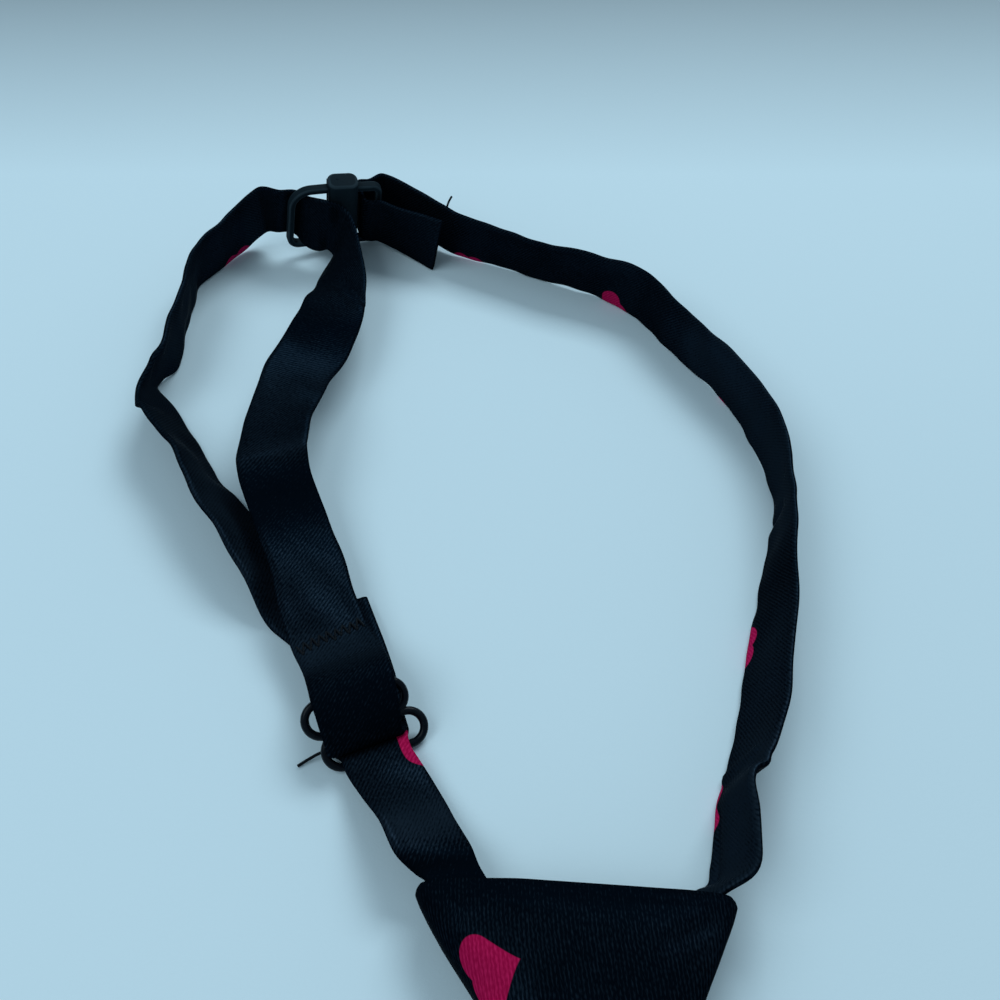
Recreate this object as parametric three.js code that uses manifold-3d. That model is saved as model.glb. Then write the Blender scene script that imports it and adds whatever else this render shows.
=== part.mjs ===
// Dog necktie on an adjustable neck strap, lying on a table with the strap standing on its edge.
// Millimetres, +Z up. The tables are written from the middle of the knot's top edge: +X to the
// right, +Y towards the clasp at the back of the neck, Z up from the table.

import * as THREE from 'three';
import Module from 'manifold-3d';

const wasm = await Module();
wasm.setup();

// Driving dimensions
const STRAP_WIDTH = 15;
const STRAP_THICK = 1.2;
const STRAP_EDGE = 0.6;
const STRAP_CROWN = 0.1;
const STRAP_STEP = 4.5;

const WIRE = 1.5;
const WIRE_SIDES = 8;
const WIRE_STEPS = 7;
const SLIDER_SPAN = 17.9;
const SLIDER_SKEW = 0.9;
const SLIDER_PITCH = 6;
const SLIDER_WAIST = 0.2;
const SLIDER_LIFT = 0.05;
const SLIDER_AT = new THREE.Vector3(-34.6, 31.1, 4.7);
const SLIDER_TURN = THREE.MathUtils.degToRad(22);
const SLIDER_TILT = Math.asin((SLIDER_AT.z - WIRE / 2 - SLIDER_LIFT) / SLIDER_PITCH);

const CLASP_AT = new THREE.Vector3(-55.8, 184.5, 1.5);
const CLASP_TURN = THREE.MathUtils.degToRad(12.8);
const CLASP_NOD = THREE.MathUtils.degToRad(14);
const CLASP_ROLL = THREE.MathUtils.degToRad(5.5);
const CLASP_HEIGHT = 20.4;
const BAR_WIDTH = 1.7;
const BAR_DEPTH = 2.4;
const BAR_CHAMFER = 0.5;
const BAR_STEPS = 5;
const RING_LENGTH = 13.2;
const RING_CORNER = { high: 5, low: 2.6 };
const RING_LEAN = THREE.MathUtils.degToRad(4);
const RING_SWING = THREE.MathUtils.degToRad(8);
const RING_SHIFT = -1.1;
const HOOK_BAR = 10;
const HOOK_ROOT = 3;
const HOOK_CORNER = 1.6;
const JAW = { left: -3.5, right: 4.5, depth: 5.8, top: 22.2, bevel: 0.9, corner: 1.4 };
const JAW_STEPS = { corner: 3, bevel: 2 };
const JAW_SLOT = { right: 1.9, depth: 3.9, top: 21, overcut: 0.3 };

const CLOTH_WALL = 1.5;
const KNOT_TURN = THREE.MathUtils.degToRad(-4);
const KNOT_SIDES = 32;
const BLADE_WALL = 1.3;
const BLADE_MID = 3.4;
const BLADE_FOLD = 1.6;
const BLADE_SLIT = 0.6;
const BLADE_TIP = { fold: 0.5, slit: 0.2, wall: 0.33 };

const SAME_POINT = 0.01;
const WELD_DIGITS = 4;

// Strap runs. Each row is the strap's middle: its place, the compass turn and the lean of its
// width, where lean 0 lies flat and lean 90 stands on edge, and its width where that is gathered.
// A row with no height stands with its lower edge on the table.
const STANDING = ['x', 'y', 'turn', 'lean'];
const RAISED = [...STANDING, 'z'];
const GATHERED = [...RAISED, 'width'];

const KNOT_TO_SLIDER = table(GATHERED, [
  [-9.5, -9, 184, 0, 8.2, 9],
  [-14, -3, 190, 2, 7.5, 8.4],
  [-18.3, 4, 200, 4, 6.9, 8.6],
  [-21.9, 8.4, 207, 24, 6.6, 12.8],
  [-25.2, 14.5, 209, 30, 5.6, 13.5],
  [-29, 20.5, 206, 14, 4, 12.5],
]);

const SLIDER_TO_BEND = table(RAISED, [
  [-50, 58.4, 209, 2],
  [-55.2, 65, 215, 26],
  [-62.4, 73, 216, 46],
  [-70.2, 83.2, 222, 51],
  [-73.7, 88.1, 220, 59],
  [-77.5, 94, 212, 63],
  [-83.1, 102.1, 215, 58],
  [-86.6, 107.2, 217, 58],
  [-89.6, 111.8, 248, 47, 5.7],
  [-93, 118.2, 275, 46, 5.6],
  [-90.9, 125.3, 145, 108],
  [-89.7, 129.8, 164, 98],
]);

const BEND_TO_CLASP = table(RAISED, [
  [-89.6, 135.2, 181, 96],
  [-90, 146.7, 181, 99],
  [-90.3, 158.9, 183, 100],
  [-90, 164.7, 170, 104],
  [-88.2, 168.7, 151, 103],
  [-85.9, 172.7, 148, 101],
  [-83.8, 177.2, 150, 97],
  [-81.3, 181, 146, 94, 8.2],
  [-78.4, 183, 134, 95, 9.9],
  [-75.2, 183.5, 122, 97, 11.8],
]);

const CLASP_TO_SLIDER = table(GATHERED, [
  [-53.8, 174.7, 44, 70, 9.9],
  [-53, 170.4, 6, 56, 8.9],
  [-52.5, 164, -3, 40, 8.4],
  [-52.1, 157, -3, 25, 8.6],
  [-51.9, 150, -3, 9, 9.1, 15.6],
  [-52.3, 140, -9, -4, 9.8, 16.3],
  [-54.2, 127, -12, -14, 10.8, 16.3],
  [-57, 116, -9, -10, 11.6, 15.5],
  [-58.3, 104.5, -4, 0, 12.4],
  [-59, 94, 4, 6, 12.6],
  [-57.3, 85, 16, -8, 11.6],
  [-54.5, 78, 22, -12, 10.2],
  [-51.6, 71, 23, -14, 9.1],
  [-48.6, 64, 22, -15, 8.2],
  [-45.6, 56.5, 21, -10, 7.2],
  [-42.8, 49, 20.5, -3, 6],
]);

// Strap rows at the slider, from its middle bar: along the bar, behind it and above it
const AT_SLIDER = ['side', 'out', 'up', 'width'];

const THROUGH_SLIDER = table(AT_SLIDER, [
  [0.3, -7.3, -1.45, 12],
  [0.2, -5.6, -1.6, 12],
  [0.2, -4.5, -1.75, 12.2],
  [0.2, -3, -2.9, 13],
  [0.2, -1.8, -3.8, 14],
  [0, 6, -3.95, 15],
  [0, 21, -3.95, 15],
]);

const OVER_SLIDER = table(AT_SLIDER, [
  [-0.2, 13, 2.3, 15],
  [-0.2, 9, 4.5, 15],
  [-0.3, 6.4, 5.7, 15],
  [-0.45, 4, 5.85, 15],
  [-0.6, 1.6, 5.1, 14.6],
  [-0.8, -0.8, 3.6, 14.2],
  [-0.95, -2.6, 1.8, 13.8],
]);

const SLIDER_TAB = table(AT_SLIDER, [
  [0.8, 9, -2.1, 15],
  [1.3, 27.8, -2.1, 15],
]);

// The fold round the slider's middle bar, in degrees
const FOLD = { from: 175, to: 270, steps: 5, bulge: 3.6, round: 2.1, side: -1, sway: 1.3, width: 13.6 };

// Strap rows in the ring, from its right bar: along the clasp, behind it and above its foot
const THROUGH_RING = table(['along', 'back', 'up', 'lean'], [
  [-15.6, 2.7, 10.4, 0],
  [-12.5, 2.45, 10.4, 0],
  [-10.8, 1.2, 10.3, 4],
  [-10.1, -0.9, 10.3, 12],
  [-8.7, -2.7, 10.5, 20],
  [-6.7, -4, 10.8, 20],
  [-4.4, -5.2, 11.4, 12],
]);

const KNOT_TO_SIDE = table(GATHERED, [
  [11, -9, -40, 0, 8.6, 9],
  [15, -5.8, -38, 30, 8.4, 8],
  [17.8, -2, -32, 55, 6.6, 6.9],
  [21, 0.7, -24, 60, 6.9, 8.8],
  [24.6, 2.6, -16, 64, 7.8, 12.6],
  [25.9, 6.2, -10, 67, 7.6, 14.4],
]);

const SIDE_TO_CLASP = table(STANDING, [
  [26.7, 11.6, -9, 72],
  [27.5, 17, -12, 75],
  [31, 23, -18, 67],
  [33.8, 29, -20, 65],
  [37, 40, -18, 65],
  [40.6, 53, -15, 69],
  [44, 67, -13, 76],
  [46.9, 78, -8, 81],
  [48.2, 83.4, -5, 89],
  [48.5, 89, -1, 87],
  [48.1, 99, 6, 84],
  [44.7, 113.4, 20, 88],
  [38, 127, 28, 91],
  [30.5, 140, 30, 89],
  [24.3, 151.6, 42, 88],
  [14.2, 159.1, 61, 100],
  [2, 164.9, 60, 105],
  [-10, 171.6, 62, 105],
  [-19, 176, 72, 100],
]);

const BEHIND_CLASP = table(RAISED, [
  [-26.5, 180.6, 80, 96, 8.4],
  [-33, 185.8, 95, 98, 9.4],
  [-43, 191, 108, 98, 11.4],
]);

// Strap rows round the hook's bar: along the clasp, behind it and above its foot
const ROUND_HOOK = table(['along', 'back', 'up'], [
  [8.2, 4.3, 10.4],
  [5.6, 4.25, 10.4],
  [4.65, 3.15, 10.3],
  [5.45, 1.4, 10.1],
  [5.6, -0.3, 9.9],
  [6.4, -2.2, 9.7],
  [8.2, -2.8, 9.6],
  [10, -2.8, 9.6],
]);

const HOOK_TAB = table(RAISED, [
  [-38.2, 179.3, 100, 96, 8.1],
  [-27.8, 173.2, 23, 76, 7.4],
]);

// Knot and blade sections, one row for each, from the strap side to the tip
const KNOT_SECTIONS = table(['y', 'mid', 'half', 'rise', 'leftSquare', 'rightSquare'], [
  [0, 0.1, 23.7, 6.6, 2.5, 7],
  [-1.4, 0.2, 24.1, 6.9, 2.5, 7],
  [-8, 1, 20.6, 7.2, 3, 6.5],
  [-15, 2.35, 16.2, 6.6, 3.6, 5.5],
  [-22, 3.8, 12.3, 6, 4.4, 5],
  [-29, 5.4, 10, 5.4, 5, 5],
]);

const BLADE_SECTIONS = table(['y', 'half', 'foot', 'thick'], [
  [-15, 7.2, 2.2, 6.4],
  [-29, 7.3, 2.1, 6.6],
  [-34, 8.8, 1.3, 6],
  [-46, 11.6, 0, 4.6],
  [-70, 16, 0, 4],
  [-112, 23.6, 0, 4],
  [-154, 31, 0, 4],
  [-158, 30, 0, 4],
  [-185, 3, 0, 3.6],
  [-187, 1.6, 0.2, 3.2],
]);

// Where the hard pieces stand
const UP = new THREE.Vector3(0, 0, 1);
const RIGHT = new THREE.Vector3(1, 0, 0);
const LEFT = new THREE.Vector3(-1, 0, 0);

const sliderPlace = new THREE.Matrix4().makeRotationZ(SLIDER_TURN).setPosition(SLIDER_AT);
const claspPlace = new THREE.Matrix4()
  .makeRotationFromEuler(new THREE.Euler(CLASP_NOD, CLASP_ROLL, CLASP_TURN, 'ZXY'))
  .setPosition(CLASP_AT);
const ringPlace = claspPlace.clone()
  .multiply(new THREE.Matrix4().makeTranslation(RING_SHIFT, 0, 0))
  .multiply(new THREE.Matrix4().makeRotationZ(RING_SWING))
  .multiply(new THREE.Matrix4().makeRotationY(RING_LEAN));

/** Names the columns of a table's rows. */
function table(columns, rows) {
  return rows.map((row) => Object.fromEntries(columns.map((name, i) => [name, row[i]])));
}

// Curves through the rows of a table

/** A row between rows i and i + 1 of a table, with every column on a smooth curve. */
function rowBetween(rows, marks, i, part) {
  const last = rows.length - 1;
  const before = Math.max(i - 1, 0);
  const after = Math.min(i + 2, last);
  const span = marks[i + 1] - marks[i];
  const result = {};
  for (const name of Object.keys(rows[i])) {
    const from = rows[i][name];
    const to = rows[i + 1][name];
    const leave = ((to - rows[before][name]) / (marks[i + 1] - marks[before])) * span;
    const arrive = ((rows[after][name] - from) / (marks[after] - marks[i])) * span;
    const bend = 2 * (from - to) + leave + arrive;
    const swing = 3 * (to - from) - 2 * leave - arrive;
    result[name] = from + part * (leave + part * (swing + part * bend));
  }
  return result;
}

/** A table's rows with smooth rows set between them, about one strap step apart. */
function smoothRows(rows) {
  const points = rows.map(({ x, y, z }) => new THREE.Vector3(x, y, z));
  const marks = [0];
  for (let i = 1; i < points.length; i += 1) {
    marks.push(marks[i - 1] + points[i].distanceTo(points[i - 1]));
  }
  const result = [];
  for (let i = 0; i < rows.length - 1; i += 1) {
    const count = Math.max(1, Math.round((marks[i + 1] - marks[i]) / STRAP_STEP));
    for (let k = 0; k < count; k += 1) {
      result.push(rowBetween(rows, marks, i, k / count));
    }
  }
  result.push(rows.at(-1));
  return result;
}

// Solids

/** Signed volume inside a triangle mesh. */
function volumeInside(positions, indices) {
  const corner = (i) => new THREE.Vector3().fromArray(positions, 3 * i);
  let total = 0;
  for (let i = 0; i < indices.length; i += 3) {
    const [a, b, c] = [corner(indices[i]), corner(indices[i + 1]), corner(indices[i + 2])];
    total += a.dot(b.cross(c)) / 6;
  }
  return total;
}

/** A closed skin over rings of points: the rings end in caps, or the last joins the first. */
function skin(rings, { closed = false, cap = [] } = {}) {
  const sides = rings[0].length;
  const positions = rings.flatMap((ring) => ring.flatMap((point) => point.toArray()));
  const indices = [];
  const spans = closed ? rings.length : rings.length - 1;
  for (let i = 0; i < spans; i += 1) {
    const here = i * sides;
    const there = ((i + 1) % rings.length) * sides;
    for (let k = 0; k < sides; k += 1) {
      const next = (k + 1) % sides;
      indices.push(here + k, here + next, there + next);
      indices.push(here + k, there + next, there + k);
    }
  }
  const lastRing = (rings.length - 1) * sides;
  for (const [a, b, c] of closed ? [] : cap) {
    indices.push(a, c, b);
    indices.push(lastRing + a, lastRing + b, lastRing + c);
  }
  const facing = volumeInside(positions, indices) > 0 ? indices : indices.reverse();
  const geometry = new THREE.BufferGeometry();
  geometry.setAttribute('position', new THREE.Float32BufferAttribute(positions, 3));
  geometry.setIndex(facing);
  return geometry;
}

/** Triangles that close an outline, as corners of that outline. */
function capOf(outline) {
  return THREE.ShapeUtils.triangulateShape(outline, []);
}

/** A geometry as a solid that can be joined and cut. */
function solidOf(geometry) {
  const place = geometry.getAttribute('position');
  const index = geometry.getIndex();
  const corners = index ? Array.from(index.array) : Array.from({ length: place.count }, (_, i) => i);
  const welded = new Map();
  const vertProperties = [];
  const renamed = corners.map((i) => {
    const point = [place.getX(i), place.getY(i), place.getZ(i)];
    const key = point.map((value) => value.toFixed(WELD_DIGITS)).join(' ');
    if (!welded.has(key)) {
      welded.set(key, welded.size);
      vertProperties.push(...point);
    }
    return welded.get(key);
  });
  const mesh = new wasm.Mesh({
    numProp: 3,
    vertProperties: new Float32Array(vertProperties),
    triVerts: new Uint32Array(renamed),
  });
  return new wasm.Manifold(mesh);
}

/** A joined or cut solid as a geometry. */
function geometryOf(solid) {
  const mesh = solid.getMesh();
  const geometry = new THREE.BufferGeometry();
  geometry.setAttribute('position', new THREE.Float32BufferAttribute(mesh.vertProperties, 3));
  geometry.setIndex(Array.from(mesh.triVerts));
  return geometry;
}

// Straps

/** Section of a pressed satin tube: across its width and through its thickness. */
function strapSection(width) {
  const half = width / 2;
  const flat = half - STRAP_EDGE;
  const thick = STRAP_THICK / 2;
  return [
    new THREE.Vector2(-half, 0),
    new THREE.Vector2(-flat, -thick),
    new THREE.Vector2(0, -thick - STRAP_CROWN),
    new THREE.Vector2(flat, -thick),
    new THREE.Vector2(half, 0),
    new THREE.Vector2(flat, thick),
    new THREE.Vector2(0, thick + STRAP_CROWN),
    new THREE.Vector2(-flat, thick),
  ];
}

/** Height of a strap's middle where its lower edge stands on the table at a lean. */
function standingHeight(lean, width) {
  const rise = (width / 2) * Math.sin(lean);
  return rise + (STRAP_THICK / 2 + STRAP_CROWN) * Math.abs(Math.cos(lean));
}

/** A strap row with the direction of its width, from a table's turn and lean. */
function rowOf({ x, y, z, turn, lean, width = STRAP_WIDTH }) {
  const tilt = THREE.MathUtils.degToRad(lean);
  const compass = THREE.MathUtils.degToRad(turn);
  return {
    x,
    y,
    z: z ?? standingHeight(tilt, width),
    acrossX: Math.cos(tilt) * Math.cos(compass),
    acrossY: Math.cos(tilt) * Math.sin(compass),
    acrossZ: Math.sin(tilt),
    width,
  };
}

/** A strap row at a point of a placed piece, its width along one of that piece's directions. */
function rowOn(place, point, direction, width = STRAP_WIDTH) {
  const { x, y, z } = point.applyMatrix4(place);
  const across = direction.clone().transformDirection(place);
  return { x, y, z, acrossX: across.x, acrossY: across.y, acrossZ: across.z, width };
}

/** Rows at even steps of an angle, given in degrees. */
function rowsRound({ from, to, steps }, rowAt) {
  return Array.from({ length: steps + 1 }, (_, i) => {
    const angle = THREE.MathUtils.degToRad(from + ((to - from) * i) / steps);
    return rowAt(Math.cos(angle), Math.sin(angle));
  });
}

/** A flat strap along its rows, lifted wherever it would sink into the table. */
function strap(rows) {
  const stations = smoothRows(rows);
  const middles = stations.map(({ x, y, z }) => new THREE.Vector3(x, y, z));
  const rings = stations.map(({ acrossX, acrossY, acrossZ, width }, i) => {
    const ahead = middles[Math.min(i + 1, middles.length - 1)];
    const behind = middles[Math.max(i - 1, 0)];
    const along = ahead.clone().sub(behind);
    const across = new THREE.Vector3(acrossX, acrossY, acrossZ).normalize();
    const through = along.cross(across).normalize();
    const ring = strapSection(width).map((point) => middles[i].clone()
      .addScaledVector(across, point.x)
      .addScaledVector(through, point.y));
    const sunk = Math.min(0, ...ring.map(({ z }) => z));
    return ring.map((point) => point.setZ(point.z - sunk));
  });
  return skin(rings, { cap: capOf(strapSection(STRAP_WIDTH)) });
}

/** The strap from the knot through the slider, round the ring and back to the slider's bar. */
function adjusterStrap() {
  const onBars = (row, across) => (
    rowOn(sliderPlace, new THREE.Vector3(row.side, row.out, row.up), across, row.width)
  );
  const inRing = ({ along, back, up, lean }) => {
    const across = UP.clone().applyAxisAngle(LEFT, THREE.MathUtils.degToRad(lean));
    return rowOn(ringPlace, new THREE.Vector3(along, back, up), across);
  };
  const roundBar = rowsRound(FOLD, (cos, sin) => {
    const point = new THREE.Vector3(FOLD.side - FOLD.sway * sin, FOLD.bulge * cos, FOLD.round * sin);
    return rowOn(sliderPlace, point, RIGHT, FOLD.width);
  });
  return strap([
    ...KNOT_TO_SLIDER.map(rowOf),
    ...THROUGH_SLIDER.map((row) => onBars(row, LEFT)),
    ...SLIDER_TO_BEND.map(rowOf),
    ...BEND_TO_CLASP.map(rowOf),
    ...THROUGH_RING.map(inRing),
    ...CLASP_TO_SLIDER.map(rowOf),
    ...OVER_SLIDER.map((row) => onBars(row, RIGHT)),
    ...roundBar,
    ...SLIDER_TAB.map((row) => onBars(row, RIGHT)),
  ]);
}

/** The strap from the knot round the right side to its sewn tab on the hook. */
function neckStrap() {
  const onHook = ({ along, back, up }) => rowOn(claspPlace, new THREE.Vector3(along, back, up), UP);
  return strap([
    ...KNOT_TO_SIDE.map(rowOf),
    ...SIDE_TO_CLASP.map(rowOf),
    ...BEHIND_CLASP.map(rowOf),
    ...ROUND_HOOK.map(onHook),
    ...HOOK_TAB.map(rowOf),
  ]);
}

// Slider and clasp

/** Round or square wire swept along a closed path that lies in the XY plane. */
function wireRing(path, section) {
  const count = path.length;
  const rings = path.map((point, i) => {
    const ahead = path[(i + 1) % count];
    const behind = path[(i + count - 1) % count];
    const along = ahead.clone().sub(behind).normalize();
    return section.map(({ x, y }) => new THREE.Vector3(
      point.x + along.y * x,
      point.y - along.x * x,
      y,
    ));
  });
  return skin(rings, { closed: true });
}

/** Points of a closed path, with the repeated last point left off. */
function loopPoints(path, divisions) {
  const points = path.getPoints(divisions);
  const apart = (a, b) => a.distanceTo(b) > SAME_POINT;
  const whole = points.filter((point, i) => i === 0 || apart(point, points[i - 1]));
  return apart(whole.at(-1), whole[0]) ? whole : whole.slice(0, -1);
}

/** A rectangle with rounded corners, from its sides and the radii of its four corners. */
function roundedPath(left, right, low, high, { lowRight, highRight, highLeft, lowLeft }) {
  const path = new THREE.Path();
  path.absarc(right - lowRight, low + lowRight, lowRight, -Math.PI / 2, 0);
  path.absarc(right - highRight, high - highRight, highRight, 0, Math.PI / 2);
  path.absarc(left + highLeft, high - highLeft, highLeft, Math.PI / 2, Math.PI);
  path.absarc(left + lowLeft, low + lowLeft, lowLeft, Math.PI, 1.5 * Math.PI);
  path.closePath();
  return path;
}

/** One radius for all four corners. */
function evenCorners(radius) {
  return { lowRight: radius, highRight: radius, highLeft: radius, lowLeft: radius };
}

/** Figure-eight wire slider: two rounded loops that share the middle bar, a little out of line. */
function slider() {
  const round = Array.from({ length: WIRE_SIDES }, (_, i) => {
    const angle = (2 * Math.PI * i) / WIRE_SIDES;
    return new THREE.Vector2(Math.cos(angle), Math.sin(angle)).multiplyScalar(WIRE / 2);
  });
  const half = SLIDER_SPAN / 2;
  const corners = evenCorners((SLIDER_PITCH - SLIDER_WAIST) / 2);
  const loop = (side, low, high) => {
    const path = roundedPath(side - half, side + half, low, high, corners);
    return solidOf(wireRing(loopPoints(path, WIRE_STEPS), round));
  };
  const far = loop(-SLIDER_SKEW, SLIDER_WAIST, SLIDER_PITCH);
  const near = loop(SLIDER_SKEW, -SLIDER_PITCH, -SLIDER_WAIST);
  return geometryOf(far.add(near));
}

/** Square moulded bar with broken edges. */
function barSection() {
  const wide = BAR_WIDTH / 2;
  const deep = BAR_DEPTH / 2;
  return [
    new THREE.Vector2(wide, deep - BAR_CHAMFER),
    new THREE.Vector2(wide - BAR_CHAMFER, deep),
    new THREE.Vector2(-wide + BAR_CHAMFER, deep),
    new THREE.Vector2(-wide, deep - BAR_CHAMFER),
    new THREE.Vector2(-wide, -deep + BAR_CHAMFER),
    new THREE.Vector2(-wide + BAR_CHAMFER, -deep),
    new THREE.Vector2(wide - BAR_CHAMFER, -deep),
    new THREE.Vector2(wide, -deep + BAR_CHAMFER),
  ];
}

/** A moulded frame standing on the table between two upright bars. */
function standingFrame(left, right, corners) {
  const low = BAR_WIDTH / 2;
  const high = CLASP_HEIGHT - BAR_WIDTH / 2;
  const path = roundedPath(left, right, low, high, corners);
  const frame = wireRing(loopPoints(path, BAR_STEPS), barSection());
  return frame.rotateX(Math.PI / 2);
}

/** The ring that the adjusting strap runs through. */
function claspRing() {
  const corners = {
    ...evenCorners(BAR_WIDTH / 2),
    highLeft: RING_CORNER.high,
    lowLeft: RING_CORNER.low,
  };
  return standingFrame(-RING_LENGTH, 0, corners);
}

/** The hook: a slot for the sewn tab and a deep jaw, closed at its top, round the ring's bar. */
function claspHook() {
  const tabSlot = solidOf(standingFrame(HOOK_ROOT, HOOK_BAR, evenCorners(HOOK_CORNER)));
  const half = JAW.depth / 2;
  const inset = JAW.bevel;
  const outline = roundedPath(
    JAW.left + inset,
    JAW.right - inset,
    inset - half,
    half - inset,
    evenCorners(JAW.corner),
  );
  const plan = new THREE.Shape(loopPoints(outline, JAW_STEPS.corner));
  const block = new THREE.ExtrudeGeometry(plan, {
    depth: JAW.top - 2 * JAW.bevel,
    bevelSize: JAW.bevel,
    bevelThickness: JAW.bevel,
    bevelSegments: JAW_STEPS.bevel,
  });
  block.translate(0, 0, JAW.bevel);
  const slotHigh = JAW_SLOT.top + JAW_SLOT.overcut;
  const slotWide = JAW_SLOT.right - JAW.left + JAW_SLOT.overcut;
  const slot = new THREE.BoxGeometry(slotWide, JAW_SLOT.depth, slotHigh);
  slot.translate(JAW_SLOT.right - slotWide / 2, 0, slotHigh / 2 - JAW_SLOT.overcut);
  const jaw = solidOf(block).add(tabSlot).subtract(solidOf(slot));
  return geometryOf(jaw);
}

// Knot and blade

/** One ring of the knot: a rounded flat tube, drawn in by a wall. */
function knotRing({ y, mid, half, rise, leftSquare, rightSquare }, wall) {
  return Array.from({ length: KNOT_SIDES }, (_, i) => {
    const angle = (2 * Math.PI * (i + 0.5)) / KNOT_SIDES;
    const square = Math.cos(angle) < 0 ? leftSquare : rightSquare;
    const round = (value) => Math.sign(value) * Math.abs(value) ** (2 / square);
    return new THREE.Vector3(
      mid + (half - wall) * round(Math.cos(angle)),
      y,
      rise + (rise - wall) * round(Math.sin(angle)),
    );
  });
}

/** The knot: a tapered band of cloth, open at the top for the straps and below for the blade. */
function knot() {
  const outside = KNOT_SECTIONS.map((row) => knotRing(row, 0));
  const inside = KNOT_SECTIONS.map((row) => knotRing(row, CLOTH_WALL));
  return skin([...outside, ...inside.reverse()], { closed: true });
}

/** Outline of the blade: a front, two folded edges and two flaps that meet at the back. */
function bladeOutline({ half, foot, thick }) {
  const fold = Math.min(BLADE_FOLD, half * BLADE_TIP.fold);
  const slit = Math.min(BLADE_SLIT, half * BLADE_TIP.slit);
  const wall = Math.min(BLADE_WALL, half * BLADE_TIP.wall, thick * BLADE_TIP.wall);
  const middle = foot + thick / 2;
  const right = [
    [slit, foot],
    [half - fold, foot],
    [half, middle],
    [half - fold, foot + thick],
  ];
  const rightInside = [
    [half - fold, foot + thick - wall],
    [half - wall, middle],
    [half - fold, foot + wall],
    [slit, foot + wall],
  ];
  const mirrored = (points) => points.map(([x, z]) => [-x, z]).reverse();
  return [...right, ...mirrored(right), ...mirrored(rightInside), ...rightInside]
    .map(([x, z]) => new THREE.Vector2(x, z));
}

/** The blade of the tie, folded from one cloth and pointed at the tip. */
function blade() {
  const outlines = BLADE_SECTIONS.map(bladeOutline);
  const rings = outlines.map((outline, i) => outline.map(
    ({ x, y: z }) => new THREE.Vector3(BLADE_MID + x, BLADE_SECTIONS[i].y, z),
  ));
  const widest = BLADE_SECTIONS.reduce((most, row) => (row.half > most.half ? row : most));
  return skin(rings, { cap: capOf(bladeOutline(widest)) });
}

// Assembly

const satin = new THREE.MeshStandardMaterial({ color: 0x0b0d14, roughness: 0.55, metalness: 0 });
const blackWire = new THREE.MeshStandardMaterial({ color: 0x08090b, roughness: 0.25, metalness: 0.3 });
const greyClasp = new THREE.MeshStandardMaterial({ color: 0x2a3238, roughness: 0.4, metalness: 0 });

/** A named piece of the tie. */
function piece(name, geometry, material) {
  const mesh = new THREE.Mesh(geometry, material);
  mesh.name = name;
  return mesh;
}

const tie = new THREE.Group();

const knotGroup = new THREE.Group();
knotGroup.rotation.z = KNOT_TURN;
knotGroup.add(piece('knot', knot(), satin));

const sliderGroup = new THREE.Group();
sliderGroup.applyMatrix4(sliderPlace);
const sliderWire = piece('slider', slider(), blackWire);
sliderWire.rotation.x = SLIDER_TILT;
sliderGroup.add(sliderWire);

const claspGroup = new THREE.Group();
claspGroup.applyMatrix4(claspPlace);
claspGroup.add(piece('clasp_hook', claspHook(), greyClasp));

const ringGroup = new THREE.Group();
ringGroup.applyMatrix4(ringPlace);
ringGroup.add(piece('clasp_ring', claspRing(), greyClasp));

tie.add(knotGroup, sliderGroup, claspGroup, ringGroup);
tie.add(piece('blade', blade(), satin));
tie.add(piece('neck_strap', neckStrap(), satin));
tie.add(piece('adjuster_strap', adjusterStrap(), satin));

// The origin is the middle of the tie's footprint on the table
const box = new THREE.Box3().setFromObject(tie, true);
const middle = box.getCenter(new THREE.Vector3());
tie.position.set(-middle.x, -middle.y, -box.min.z);

const group = new THREE.Group();
group.add(tie);

export default group;
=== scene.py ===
"""Dog necktie lying on a pale table: its satin, wire slider, clasp and thread, with light and camera.

Tables are in millimetres from the middle of the knot's top edge: +X to the right, +Y towards the
clasp at the back of the neck, Z up from the table.
"""

import logging
import math
from dataclasses import dataclass
from enum import Enum
from typing import Callable, Iterable, Sequence

import bpy
import numpy as np
from mathutils import Matrix, Vector


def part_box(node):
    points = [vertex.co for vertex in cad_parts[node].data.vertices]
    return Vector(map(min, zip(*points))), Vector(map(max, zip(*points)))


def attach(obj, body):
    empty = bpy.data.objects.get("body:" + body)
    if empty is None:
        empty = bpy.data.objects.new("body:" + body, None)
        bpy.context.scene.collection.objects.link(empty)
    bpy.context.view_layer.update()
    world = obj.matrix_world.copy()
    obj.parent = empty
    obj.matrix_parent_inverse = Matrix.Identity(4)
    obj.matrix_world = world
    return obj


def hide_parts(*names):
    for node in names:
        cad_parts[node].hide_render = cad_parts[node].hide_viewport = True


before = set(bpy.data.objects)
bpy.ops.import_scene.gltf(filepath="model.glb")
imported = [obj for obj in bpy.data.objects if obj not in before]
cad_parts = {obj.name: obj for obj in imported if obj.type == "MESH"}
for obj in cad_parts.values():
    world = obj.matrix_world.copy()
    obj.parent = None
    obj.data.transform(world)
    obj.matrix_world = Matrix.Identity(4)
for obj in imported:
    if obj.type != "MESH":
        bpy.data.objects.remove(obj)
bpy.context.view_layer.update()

log = logging.getLogger("necktie")

Triple = tuple[float, float, float]
Colour = Triple
Place = Triple
Row = np.ndarray
Material = bpy.types.Material
Piece = bpy.types.Object
Socket = bpy.types.NodeSocket

MM = 0.001
BODY = "root"
CLOTH_MAP = "cloth"
HEART_FIELD = "heart"
EDGE_FIELD = "edge"
# Cloth places of painted light and shade, which lighten or darken the satin's colour and, below 0, make it
# less metallic
GLOSS_AND_PAINTED_LIGHT_FIELD = "gloss_and_painted_light"
FAR = 99.0
# Points nearer to each other than this are one
SAME_POINT = 1e-4

STRAP_WIDTH = 15.0
# Height of the middle of a strap that lies flat
STRAP_REST = 0.7
RIB_ANGLE = 45.0
BLADE_MID = 3.4
BLADE_TIP = -187.0


class Slot(Enum):
    """Finishes that the part's record names."""

    SATIN = "satin"
    WIRE = "slider_wire"
    CLASP = "clasp"


# Shader maths

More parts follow.
